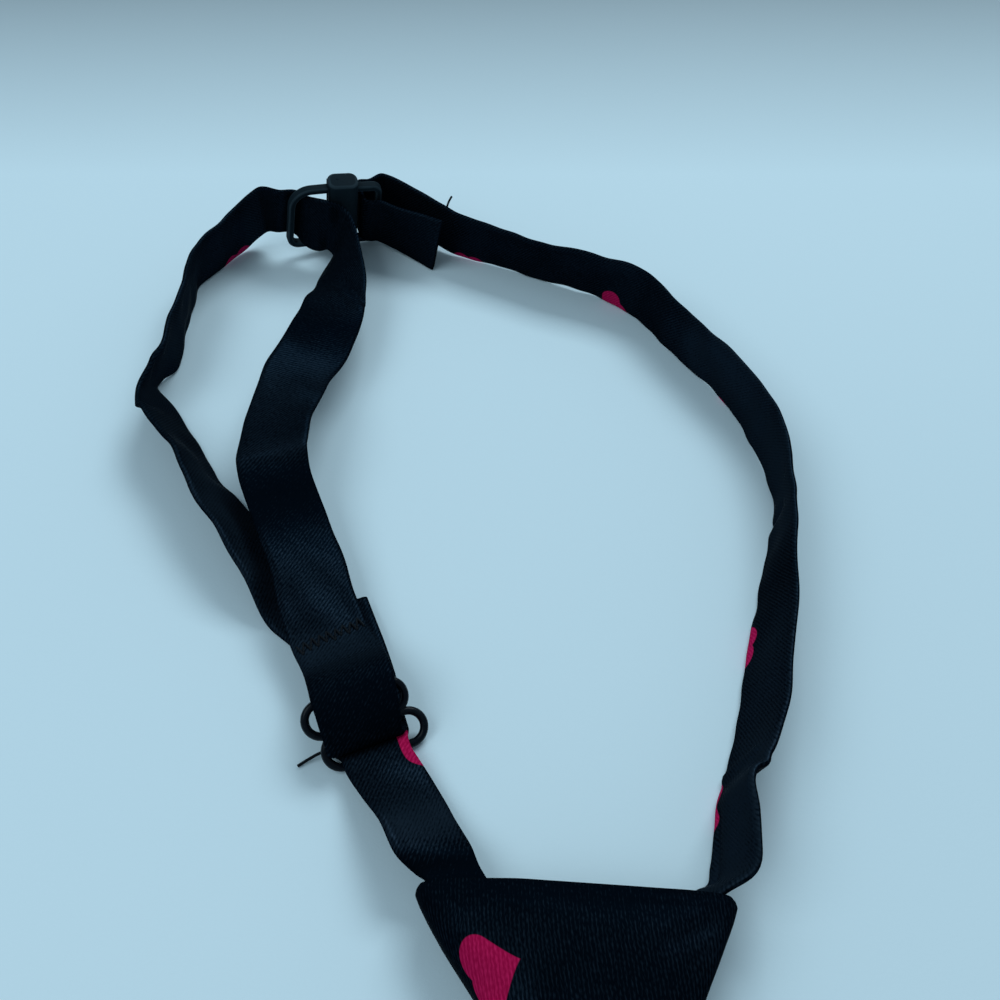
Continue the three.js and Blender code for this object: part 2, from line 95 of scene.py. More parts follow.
# Places of the colour sockets of a Mix node, whose names several sockets share
MIX_SHARE, MIX_FIRST, MIX_SECOND, MIX_RESULT = 0, 6, 7, 2


class Value:
    """A number that changes over a surface. Python's operators add the Math nodes."""

    def __init__(self, shader: "Shader", socket: Socket) -> None:
        """Keeps the shader and the socket that gives the number."""
        self.shader = shader
        self.socket = socket

    def __add__(self, other: "Value | float") -> "Value":
        """This number and another."""
        return self.shader.maths("ADD", self, other)

    def __radd__(self, other: float) -> "Value":
        """Another number and this one."""
        return self.shader.maths("ADD", other, self)

    def __sub__(self, other: "Value | float") -> "Value":
        """This number less another."""
        return self.shader.maths("SUBTRACT", self, other)

    def __rsub__(self, other: float) -> "Value":
        """Another number less this one."""
        return self.shader.maths("SUBTRACT", other, self)

    def __mul__(self, other: "Value | float") -> "Value":
        """This number times another."""
        return self.shader.maths("MULTIPLY", self, other)

    def __rmul__(self, other: float) -> "Value":
        """Another number times this one."""
        return self.shader.maths("MULTIPLY", other, self)

    def __truediv__(self, other: "Value | float") -> "Value":
        """This number over another."""
        return self.shader.maths("DIVIDE", self, other)

    def __rtruediv__(self, other: float) -> "Value":
        """Another number over this one."""
        return self.shader.maths("DIVIDE", other, self)

    def wave(self) -> "Value":
        """A wave from 0 to 1, one for each whole number."""
        return self.shader.maths("SINE", self * math.tau) * 0.5 + 0.5

    def kept(self) -> "Value":
        """This number kept between 0 and 1."""
        return self.shader.maths("MINIMUM", self.shader.maths("MAXIMUM", self, 0.0), 1.0)


class Shader:
    """One material and its nodes, ending in a Principled surface."""

    def __init__(self, name: str, surface: dict[str, float | Colour]) -> None:
        """Makes the material.

        Args:
            name: the material's name.
            surface: numbers and colours that are the same all over the surface, by socket.
        """
        self.material = bpy.data.materials.new(name)
        self.material.use_nodes = True
        self.tree = self.material.node_tree
        self.tree.nodes.clear()
        self.surface = self.node("ShaderNodeBsdfPrincipled", sockets=surface)
        self.node("ShaderNodeOutputMaterial", sockets={"Surface": self.surface.outputs["BSDF"]})

    def node(self, kind: str, settings: dict | None = None, sockets: dict | None = None) -> bpy.types.Node:
        """Adds a node.

        Args:
            kind: the node's type.
            settings: the node's own properties, which are set first.
            sockets: values or links for its inputs, by name or number.

        Returns:
            The node.
        """
        made = self.tree.nodes.new(kind)
        for name, setting in (settings or {}).items():
            setattr(made, name, setting)
        for name, value in (sockets or {}).items():
            self.feed(made.inputs[name], value)
        return made

    def feed(self, socket: Socket, value: object) -> None:
        """Sets or links an input.

        Args:
            socket: the input.
            value: a number, a colour or vector, a Value, or another node's output.
        """
        source = value.socket if isinstance(value, Value) else value
        if isinstance(source, Socket):
            self.tree.links.new(source, socket)
        elif socket.type == "RGBA":
            socket.default_value = (*source, 1.0)
        else:
            socket.default_value = source

    def finish(self, **inputs: object) -> Material:
        """Feeds the surface what changes over it.

        Args:
            inputs: values or links by the socket's name, with underscores for spaces.

        Returns:
            The material.
        """
        for name, value in inputs.items():
            self.feed(self.surface.inputs[name.replace("_", " ").title()], value)
        return self.material

    def maths(self, operation: str, *terms: Value | float) -> Value:
        """A Math node's result."""
        made = self.node("ShaderNodeMath", {"operation": operation}, dict(enumerate(terms)))
        return Value(self, made.outputs["Value"])

    def mix(self, share: Value, first: object, second: object) -> Socket:
        """A colour between two others, the first at 0 and the second at 1."""
        sockets = {MIX_SHARE: share, MIX_FIRST: first, MIX_SECOND: second}
        return self.node("ShaderNodeMix", {"data_type": "RGBA"}, sockets).outputs[MIX_RESULT]

    def part(self, vector: Socket, axis: str) -> Value:
        """One part of a vector, X, Y or Z."""
        return Value(self, self.node("ShaderNodeSeparateXYZ", sockets={"Vector": vector}).outputs[axis])

    def scaled(self, vector: Socket, factors: Triple) -> Socket:
        """A vector with each of its parts multiplied."""
        made = self.node("ShaderNodeVectorMath", {"operation": "MULTIPLY"}, {0: vector, 1: factors})
        return made.outputs["Vector"]

    def noise(self, place: Socket, scale: float, detail: float = 2.0) -> Value:
        """Soft noise from 0 to 1 over a place."""
        sockets = {"Vector": place, "Scale": scale, "Detail": detail}
        return Value(self, self.node("ShaderNodeTexNoise", sockets=sockets).outputs["Fac"])

    def stored(self, name: str) -> Value:
        """A number that the mesh stores at its corners."""
        return Value(self, self.node("ShaderNodeAttribute", {"attribute_name": name}).outputs["Fac"])

    def bump(self, height: Value, depth: float) -> Socket:
        """A normal that follows a height from 0 to 1, of a depth in millimetres."""
        sockets = {"Height": height, "Distance": depth * MM, "Strength": 1.0}
        return self.node("ShaderNodeBump", sockets=sockets).outputs["Normal"]

    def place(self) -> Socket:
        """A point of the surface in metres of the part."""
        return self.node("ShaderNodeTexCoord").outputs["Object"]

    def cloth(self) -> Socket:
        """A point of the cloth or thread, in the coordinates that its mesh stores."""
        return self.node("ShaderNodeUVMap", {"uv_map": CLOTH_MAP}).outputs["UV"]


# Finishes


@dataclass(frozen=True)
class Satin:
    """Black twill satin printed with crimson hearts. Lengths are in millimetres of cloth.

    Ribs, floats, flecks, wear and places of painted light and shade light the cloth, each by its own
    share, and lit_from is the sum at which it begins to lighten. Lustre is how metallic the ground is,
    and dulling how much of that a place of painted shade takes away.
    """

    shade: Colour = (0.0009, 0.0028, 0.0057)
    light: Colour = (0.0097, 0.0178, 0.0288)
    heart_shade: Colour = (0.34, 0.0042, 0.053)
    heart_light: Colour = (0.56, 0.0155, 0.110)
    shine: float = 0.0006
    shine_tint: Colour = (0.03, 0.04, 0.05)
    rib_pitch: float = 0.62
    rib_wander: float = 0.45
    drift_scale: float = 0.16
    wear_scale: float = 0.07
    float_scale: Triple = (2.8, 0.7, 1.0)
    fleck_scale: Triple = (5.4, 1.5, 1.0)
    rib_share: float = 0.5
    weave_light: float = 1.1
    fleck_light: float = 1.4
    wear_light: float = 0.6
    painted_light_share: float = 0.6
    lit_from: float = 1.27
    relief: float = 0.03
    print_bleed: float = 0.16
    roughness: float = 0.36
    float_rough: float = 0.1
    rib_smooth: float = 0.05
    lustre: float = 0.4
    dulling: float = 0.4

    def material(self) -> Material:
        """The satin's material."""
        shader = Shader("satin_black_hearts", {
            "Specular IOR Level": self.shine,
            "Specular Tint": self.shine_tint,
        })
        cloth = shader.cloth()
        drift = shader.noise(cloth, self.drift_scale)
        ribs = (shader.part(cloth, "X") / self.rib_pitch + drift * self.rib_wander).wave()
        floats = shader.noise(shader.scaled(cloth, self.float_scale), 1.0, 1.0)
        flecks = shader.noise(shader.scaled(cloth, self.fleck_scale), 1.0, 0.0)
        wear = shader.noise(cloth, self.wear_scale)
        height = ribs * self.rib_share + floats * (1.0 - self.rib_share)
        # Painted light and shade: stored places where the cloth is lit or shaded lighten or darken its
        # colour, and those below 0 also dull its lustre
        gloss_and_painted_light = shader.stored(GLOSS_AND_PAINTED_LIGHT_FIELD)
        weave = height * self.weave_light + flecks * self.fleck_light
        lit = (weave + wear * self.wear_light + gloss_and_painted_light * self.painted_light_share - self.lit_from).kept()
        inside = (0.5 - shader.stored(HEART_FIELD) / self.print_bleed).kept()
        ground = shader.mix(lit, self.shade, self.light)
        hearts = shader.mix(lit, self.heart_shade, self.heart_light)
        dull = shader.maths("MINIMUM", gloss_and_painted_light, 0.0) * self.dulling
        return shader.finish(
            base_color=shader.mix(inside, ground, hearts),
            roughness=self.roughness + floats * self.float_rough - ribs * self.rib_smooth,
            metallic=(1.0 - inside) * (dull + self.lustre).kept(),
            normal=shader.bump(height, self.relief),
        )


@dataclass(frozen=True)
class PaintedWire:
    """Glossy black paint on wire, rubbed a little lighter where the strap slides."""

    paint: Colour = (0.0018, 0.0042, 0.0085)
    rubbed: Colour = (0.010, 0.014, 0.020)
    shine: float = 0.09
    coat: float = 0.05
    coat_roughness: float = 0.12
    streak_scale: float = 900.0
    patch_scale: float = 210.0
    patch_wear: float = 2.4
    streak_wear: float = 0.8
    worn_from: float = 1.75
    roughness: float = 0.2
    streak_rough: float = 0.12
    worn_rough: float = 0.2
    relief: float = 0.02

    def material(self) -> Material:
        """The wire's material."""
        shader = Shader("slider_black_paint", {
            "Specular IOR Level": self.shine,
            "Coat Weight": self.coat,
            "Coat Roughness": self.coat_roughness,
        })
        place = shader.place()
        streaks = shader.noise(place, self.streak_scale, 3.0)
        patches = shader.noise(place, self.patch_scale)
        worn = (patches * self.patch_wear + streaks * self.streak_wear - self.worn_from).kept()
        return shader.finish(
            base_color=shader.mix(worn, self.paint, self.rubbed),
            roughness=self.roughness + streaks * self.streak_rough + worn * self.worn_rough,
            normal=shader.bump(streaks, self.relief),
        )


@dataclass(frozen=True)
class MouldedClasp:
    """Charcoal moulding with a fine satin grain and paler corners."""

    charcoal: Colour = (0.0080, 0.0155, 0.0220)
    corner: Colour = (0.028, 0.046, 0.060)
    shine: float = 0.012
    grain_scale: float = 2600.0
    cloud_scale: float = 260.0
    corner_wear: float = 0.35
    cloud_wear: float = 0.9
    grain_wear: float = 0.25
    worn_from: float = 0.2
    roughness: float = 0.36
    grain_rough: float = 0.16
    cloud_rough: float = 0.08
    relief: float = 0.012

    def material(self) -> Material:
        """The moulding's material."""
        shader = Shader("clasp_charcoal", {"Specular IOR Level": self.shine})
        place = shader.place()
        grain = shader.noise(place, self.grain_scale)
        cloud = shader.noise(place, self.cloud_scale)
        corners = shader.stored(EDGE_FIELD) * (self.corner_wear + cloud * self.cloud_wear)
        worn = (corners + grain * self.grain_wear - self.worn_from).kept()
        return shader.finish(
            base_color=shader.mix(worn, self.charcoal, self.corner),
            roughness=self.roughness + grain * self.grain_rough + cloud * self.cloud_rough,
            normal=shader.bump(grain, self.relief),
        )


@dataclass(frozen=True)
class Thread:
    """Twisted black sewing thread."""

    dark: Colour = (0.0008, 0.0022, 0.0042)
    pale: Colour = (0.004, 0.009, 0.016)
    shine: float = 0.12
    twist_pitch: float = 0.5
    strands: float = 2.0
    fuzz_scale: float = 4200.0
    twist_light: float = 0.7
    fuzz_light: float = 0.6
    lit_from: float = 0.3
    roughness: float = 0.55
    fuzz_rough: float = 0.2
    relief: float = 0.06

    def material(self) -> Material:
        """The thread's material."""
        shader = Shader("sewing_thread_black", {"Specular IOR Level": self.shine})
        thread = shader.cloth()
        round_thread, along_thread = shader.part(thread, "X"), shader.part(thread, "Y")
        twist = (along_thread / self.twist_pitch + round_thread * self.strands).wave()
        fuzz = shader.noise(shader.place(), self.fuzz_scale)
        lit = (twist * self.twist_light + fuzz * self.fuzz_light - self.lit_from).kept()
        return shader.finish(
            base_color=shader.mix(lit, self.dark, self.pale),
            roughness=self.roughness + fuzz * self.fuzz_rough,
            normal=shader.bump(twist, self.relief),
        )


@dataclass(frozen=True)
class Table:
    """Pale blue paper table, with painted shade that darkens it towards its far end. Distances are in metres.
    """

    near: Colour = (0.70, 0.86, 0.955)
    patch: Colour = (0.68, 0.84, 0.94)
    painted_far_shade: Colour = (0.31, 0.38, 0.43)
    fade_from: float = 0.22
    fade_over: float = 0.15
    shine: float = 0.2
    patch_scale: float = 9.0
    grain_scale: float = 1400.0
    roughness: float = 0.6
    grain_rough: float = 0.15
    relief: float = 0.02

    def material(self) -> Material:
        """The table's material."""
        shader = Shader("table_pale_blue", {"Specular IOR Level": self.shine})
        place = shader.place()
        patches = shader.noise(place, self.patch_scale)
        grain = shader.noise(place, self.grain_scale)
        # Painted shade: the paper darkens towards its far end, where less light reaches it
        painted_shade_share = ((shader.part(place, "Y") - self.fade_from) / self.fade_over).kept()
        paper = shader.mix(patches, self.near, self.patch)
        return shader.finish(
            base_color=shader.mix(painted_shade_share, paper, self.painted_far_shade),
            roughness=self.roughness + grain * self.grain_rough,
            normal=shader.bump(grain, self.relief),
        )


# Meshes


def tie_shift() -> np.ndarray:
    """Where the knot's top edge is in the part, in millimetres, from where the blade lies."""
    low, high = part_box("blade")
    return np.array(((low.x + high.x) / 2 / MM - BLADE_MID, low.y / MM - BLADE_TIP, 0.0))


@dataclass
class Loft:
    """A closed skin over rings of points, with what its corners carry.

    A ring's corners have one more column than its points, so that cloth coordinates don't have to
    come back to where they began. Where the last ring joins the first, they have one more row too.
    """

    rings: np.ndarray
    cloth: np.ndarray | None = None
    heart: np.ndarray | None = None
    edge: np.ndarray | None = None
    gloss_and_painted_light: np.ndarray | None = None
    joined: bool = False

    def inward(self) -> bool:
        """True if the rings run so that the faces look inward."""
        after = np.roll(self.rings, -1, axis=0) if self.joined else self.rings[1:]
        here = self.rings if self.joined else self.rings[:-1]
        a, b, c = here, np.roll(here, -1, axis=1), np.roll(after, -1, axis=1)
        middle = self.rings.reshape(-1, 3).mean(axis=0)
        first = np.einsum("ijk,ijk->", a - middle, np.cross(b - middle, c - middle))
        second = np.einsum("ijk,ijk->", a - middle, np.cross(c - middle, after - middle))
        return bool(first + second < 0)

    def faces(self) -> tuple[list[list[int]], list[list[tuple[int, int]]]]:
        """Faces as points, and as rows and columns of what the corners carry."""
        count, sides = self.rings.shape[:2]
        points, corners = [], []
        for i in range(count if self.joined else count - 1):
            for k in range(sides):
                quad = [(i, k), (i, k + 1), (i + 1, k + 1), (i + 1, k)]
                corners.append(quad)
                points.append([(row % count) * sides + column % sides for row, column in quad])
        if not self.joined:
            for row, order in ((0, range(sides - 1, -1, -1)), (count - 1, range(sides))):
                corners.append([(row, column) for column in order])
                points.append([row * sides + column for column in order])
        if self.inward():
            points = [face[::-1] for face in points]
            corners = [face[::-1] for face in corners]
        return points, corners

    def carried(self, name: str, corners: list[list[tuple[int, int]]], size: int) -> np.ndarray:
        """What the corners carry, one row for each corner of each face.

        Args:
            name: the field.
            corners: the faces' corners.
            size: how many numbers a corner carries.

        Returns:
            The numbers. Where the skin has none, they are far from any heart, and 0 for the rest.
        """
        flat = np.array([corner for face in corners for corner in face])
        values = getattr(self, name)
        if values is None:
            return np.full((len(flat), size), FAR if name == HEART_FIELD else 0.0)
        return values[flat[:, 0], flat[:, 1]].reshape(len(flat), size)


def make_piece(name: str, lofts: Iterable[Loft], crisp_deg: float | None = None) -> Piece:
    """Makes one object of several skins.

    Args:
        name: the piece's name.
        lofts: its skins, in millimetres from the knot.
        crisp_deg: the angle past which an edge stays crisp, if any does.

    Returns:
        The object, in metres of the part.
    """
    sizes = {CLOTH_MAP: 2, HEART_FIELD: 1, EDGE_FIELD: 1, GLOSS_AND_PAINTED_LIGHT_FIELD: 1}
    points, faces, fields = [], [], {field_name: [] for field_name in sizes}
    start = 0
    for loft in lofts:
        own_faces, corners = loft.faces()
        points.append(loft.rings.reshape(-1, 3))
        faces += [[start + corner for corner in face] for face in own_faces]
        for field_name, size in sizes.items():
            fields[field_name].append(loft.carried(field_name, corners, size))
        start += len(points[-1])
    mesh = bpy.data.meshes.new(name)
    mesh.from_pydata(((np.vstack(points) + tie_shift()) * MM).tolist(), [], faces)
    mesh.uv_layers.new(name=CLOTH_MAP).data.foreach_set("uv", np.vstack(fields[CLOTH_MAP]).ravel())
    for field_name in (HEART_FIELD, EDGE_FIELD, GLOSS_AND_PAINTED_LIGHT_FIELD):
        stored = mesh.attributes.new(field_name, "FLOAT", "CORNER")
        stored.data.foreach_set("value", np.vstack(fields[field_name]).ravel())
    mesh.shade_smooth()
    if crisp_deg is not None:
        mesh.set_sharp_from_angle(angle=math.radians(crisp_deg))
    mesh.validate()
    piece = bpy.data.objects.new(name, mesh)
    bpy.context.scene.collection.objects.link(piece)
    return piece


def fit_out(piece: Piece, material: Material,
            node: str | None = None) -> Piece:
    """Gives a piece its finish and ties it to the part.

    Args:
        piece: the piece.
        material: its material.
        node: the solid that it stands for, if any.

    Returns:
        The piece.
    """
    piece.data.materials.append(material)
    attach(piece, BODY)
    if node is not None:
        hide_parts(node)
    log.info("piece %s: %d faces", piece.name, len(piece.data.polygons))
    return piece


def unit(vectors: np.ndarray) -> np.ndarray:
    """Vectors of length 1 in the same directions."""
    return vectors / np.linalg.norm(vectors, axis=1, keepdims=True)


def smooth_step(low: float, high: float, value: np.ndarray) -> np.ndarray:
    """Goes smoothly from 0 at low to 1 at high."""
    part = np.clip((value - low) / (high - low), 0.0, 1.0)
    return part * part * (3 - 2 * part)


def lengths_of(points: np.ndarray) -> np.ndarray:
    """Length along a line of points, at each point."""
    return np.concatenate(([0.0], np.cumsum(np.linalg.norm(np.diff(points, axis=0), axis=1))))


def closed(values: np.ndarray, axis: int = 0) -> np.ndarray:
    """Values with the first repeated at the end, to close a ring."""
    return np.concatenate((values, values.take([0], axis=axis)), axis=axis)


def smooth_rows(rows: np.ndarray, step: float, place: slice = slice(0, 3)) -> np.ndarray:
    """Rows on smooth curves through a table's rows.

    Args:
        rows: the table.
        step: about how far apart the new rows are.
        place: the columns that tell how far apart the table's rows are.

    Returns:
        The new rows.
    """
    marks = lengths_of(rows[:, place])
    last = len(rows) - 1
    made = []
    for i in range(last):
        before, after = max(i - 1, 0), min(i + 2, last)
        span = marks[i + 1] - marks[i]
        leave = (rows[i + 1] - rows[before]) / (marks[i + 1] - marks[before]) * span
        arrive = (rows[after] - rows[i]) / (marks[after] - marks[i]) * span
        bend = 2 * (rows[i] - rows[i + 1]) + leave + arrive
        swing = 3 * (rows[i + 1] - rows[i]) - 2 * leave - arrive
        count = max(1, round(span / step))
        part = (np.arange(count) / count)[:, None]
        made.append(rows[i] + part * (leave + part * (swing + part * bend)))
    return np.vstack([*made, rows[last:]])


def tube(points: np.ndarray, radius: float, sides: int = 7) -> Loft:
    """A round thread along points.

    Args:
        points: the thread's middle.
        radius: half its thickness.
        sides: how many sides it has.

    Returns:
        Its skin.
    """
    never_along = np.array((0.31, 0.17, 1.0))
    along = unit(np.gradient(points, axis=0))
    side = unit(np.cross(along, never_along))
    rise = np.cross(side, along)
    angles = np.arange(sides) * math.tau / sides
    rings = points[:, None] + radius * (
        np.cos(angles)[None, :, None] * side[:, None] + np.sin(angles)[None, :, None] * rise[:, None]
    )
    around = np.arange(sides + 1) / sides
    cloth = np.stack(np.meshgrid(around, lengths_of(points)), axis=-1)
    return Loft(rings, cloth)


def sweep(path: np.ndarray, section: np.ndarray, edge: np.ndarray | None = None) -> Loft:
    """Wire or bar round a closed path in the XY plane.

    Args:
        path: the path's points.
        section: the bar's section, outward from the path and up from its plane.
        edge: how worn each point of the section is, from 0 to 1.

    Returns:
        Its skin.
    """
    along = unit(np.roll(path, -1, axis=0) - np.roll(path, 1, axis=0))
    outward = np.stack((along[:, 1], -along[:, 0]), axis=1)
    flat = path[:, None] + outward[:, None] * section[None, :, :1]
    rise = np.broadcast_to(section[None, :, 1:], (*flat.shape[:2], 1))
    worn = None
    if edge is not None:
        worn = np.tile(closed(edge), (len(path) + 1, 1))
    return Loft(np.concatenate((flat, rise), axis=2), edge=worn, joined=True)


def placed(loft: Loft, place: Matrix) -> Loft:
    """A skin moved to its place."""
    matrix = np.array(place)
    loft.rings = loft.rings @ matrix[:3, :3].T + matrix[:3, 3]
    return loft


@dataclass(frozen=True)
class Corners:
    """Radii of a rounded rectangle's corners, in the order that the path goes round."""

    low_right: float
    high_right: float
    high_left: float
    low_left: float

    @classmethod
    def even(cls, radius: float) -> "Corners":
        """One radius for all four."""
        return cls(radius, radius, radius, radius)


def rounded_path(left: float, right: float, low: float, high: float, corners: Corners, steps: int,
                 straight: float) -> np.ndarray:
    """A rectangle with rounded corners.

    Args:
        left, right, low, high: its sides.
        corners: its radii.
        steps: how many steps each corner has.
        straight: about how far apart points are on the straight sides.

    Returns:
        Its points, with none repeated.
    """
    turns = (
        (right - corners.low_right, low + corners.low_right, corners.low_right, -90),
        (right - corners.high_right, high - corners.high_right, corners.high_right, 0),
        (left + corners.high_left, high - corners.high_left, corners.high_left, 90),
        (left + corners.low_left, low + corners.low_left, corners.low_left, 180),
    )
    arcs = []
    for x, y, radius, start in turns:
        angles = np.radians(start + 90 * np.arange(steps + 1) / steps)
        arcs.append(np.stack((x + radius * np.cos(angles), y + radius * np.sin(angles)), axis=1))
    path = []
    for i, arc in enumerate(arcs):
        path.append(arc)
        following = arcs[(i + 1) % 4][0]
        gap = float(np.linalg.norm(following - arc[-1]))
        count = max(1, round(gap / straight))
        path.append(arc[-1] + (following - arc[-1]) * (np.arange(1, count) / count)[:, None])
    points = np.vstack(path)
    apart = np.linalg.norm(points - np.roll(points, 1, axis=0), axis=1)
    return points[apart > SAME_POINT]


# Cloth


# Shape of a heart of height 1 that stands on its tip
HEART_MIDDLE = 0.52
HEART_WAIST = 0.62
HEART_TAPER = 0.9
LOBE_OUT, LOBE_UP, LOBE_RADIUS = 0.25, 0.75, math.sqrt(2) / 4


@dataclass(frozen=True)
class Heart:
    """One printed heart: where its middle is on the cloth, its height and the turn of its tip."""

    across: float
    along: float
    size: float
    turn: float

    def distance(self, across: np.ndarray, along: np.ndarray) -> np.ndarray:
        """How far places of the cloth are outside the heart, less than 0 inside it.

        Args:
            across, along: the places.

        Returns:
            The distances, in millimetres.
        """
        turn = math.radians(self.turn)
        side, ahead = across - self.across, along - self.along
        x = np.abs(side * math.sin(turn) - ahead * math.cos(turn)) / self.size
        y = HEART_MIDDLE - (side * math.cos(turn) + ahead * math.sin(turn)) / self.size
        x = x * (1 + HEART_TAPER * np.clip(HEART_WAIST - y, 0.0, HEART_WAIST) ** 2)
        lobe = np.hypot(x - LOBE_OUT, y - LOBE_UP) - LOBE_RADIUS
        ridge = np.maximum(x + y, 0.0) / 2
        flank = np.sqrt(np.minimum(x**2 + (y - 1) ** 2, (x - ridge) ** 2 + (y - ridge) ** 2))
        return self.size * np.where(x + y > 1, lobe, flank * np.sign(x - y))


def heart_field(hearts: Sequence[Heart], across: np.ndarray, along: np.ndarray) -> np.ndarray:
    """How far places of a cloth are from the nearest of its hearts."""
    return np.minimum.reduce([np.full(across.shape, FAR), *(h.distance(across, along) for h in hearts)])


@dataclass(frozen=True)
class Ripple:
    """Gentle unevenness of a cloth: seeded waves of several lengths."""

    seed: int
    height: float
    longest: float
    shortest: float
    waves: int = 16
    slant: float = 0.5

    def at(self, across: np.ndarray, along: np.ndarray) -> np.ndarray:
        """Height of the cloth at places of it.

        Args:
            across, along: the places.

        Returns:
            The heights, in millimetres.
        """
        chance = np.random.default_rng(self.seed)
        total = np.zeros(np.broadcast(across, along).shape)
        for _ in range(self.waves):
            length = math.exp(chance.uniform(math.log(self.shortest), math.log(self.longest)))
            heading = chance.uniform(-self.slant, self.slant) * math.pi
            phase = chance.uniform(0, math.tau)
            way = along * math.cos(heading) + across * math.sin(heading)
            total += np.sin(way * math.tau / length + phase) * (length / self.longest) ** 0.5
        return self.height * total / math.sqrt(self.waves)


@dataclass(frozen=True)
class Fold:
    """A ridge, or a groove if its height is below 0, straight across a cloth between two points.

    Among a cloth's places of painted light and shade it is a lit place, painted lighter, or a shaded one,
    painted darker and made less metallic, if its height is below 0.
    """

    start: tuple[float, float]
    end: tuple[float, float]
    height: float
    wide: float

    def at(self, across: np.ndarray, along: np.ndarray) -> np.ndarray:
        """Height of the fold, or strength of the painted light or shade, at places of the cloth.

        Args:
            across, along: the places.

        Returns:
            The heights, in millimetres, or the strengths.
        """
        start, end = np.array(self.start), np.array(self.end)
        reach = end - start
        way = ((across - start[0]) * reach[0] + (along - start[1]) * reach[1]) / (reach @ reach)
        kept = np.clip(way, 0.0, 1.0)
        away = np.hypot(across - start[0] - kept * reach[0], along - start[1] - kept * reach[1])
        return self.height * np.exp(-((away / self.wide) ** 2))


def twill(across: np.ndarray, along: np.ndarray) -> np.ndarray:
    """Coordinates across and along the slanting ribs of a cloth, at places of it."""
    turn = math.radians(RIB_ANGLE)
    return np.stack((
        across * math.cos(turn) + along * math.sin(turn),
        along * math.cos(turn) - across * math.sin(turn),
    ), axis=-1)


def row_of(x: float, y: float, turn: float, lean: float, z: float | None = None,
           width: float = STRAP_WIDTH) -> Row:
    """A strap row from a table.

    Args:
        x, y: the strap's middle.
        turn, lean: the compass turn and the lean of its width; lean 0 lies flat.
        z: the middle's height, or none where the lower edge stands on the table.
        width: the strap's width there.

    Returns:
        The place, the direction of the width, and the width.
    """
    tilt, compass = math.radians(lean), math.radians(turn)
    flat, steep = math.cos(tilt), math.sin(tilt)
    height = width / 2 * steep + STRAP_REST * abs(flat) if z is None else z
    return np.array((x, y, height, flat * math.cos(compass), flat * math.sin(compass), steep, width))


def rows_of(*tables: Sequence[tuple[float, ...]]) -> list[Row]:
    """Strap rows from tables, one after another."""
    return [row_of(*row) for table in tables for row in table]


def row_on(place: Matrix, point: Sequence[float], direction: Place, width: float = STRAP_WIDTH) -> Row:
    """A strap row at a point of a placed piece, its width along one of that piece's directions."""
    return np.array((*(place @ Vector(point)), *(place.to_3x3() @ Vector(direction)), width))


def rows_on(place: Matrix, direction: Place, table: Sequence[tuple[float, ...]]) -> list[Row]:
    """Strap rows from a table of points of a placed piece and the strap's width at each."""
    return [row_on(place, row[:3], direction, row[3]) for row in table]


def rows_round(start: float, end: float, steps: int, row_at: Callable[[float, float], Row]) -> list[Row]:
    """Rows at even steps of an angle in degrees, from its cosine and sine."""
    angles = [math.radians(start + (end - start) * i / steps) for i in range(steps + 1)]
    return [row_at(math.cos(angle), math.sin(angle)) for angle in angles]


@dataclass(frozen=True)
class TightSpot:
    """A place where a strap is held, and how far from it the strap is still drawn smooth."""

    at: Place
    reach: float


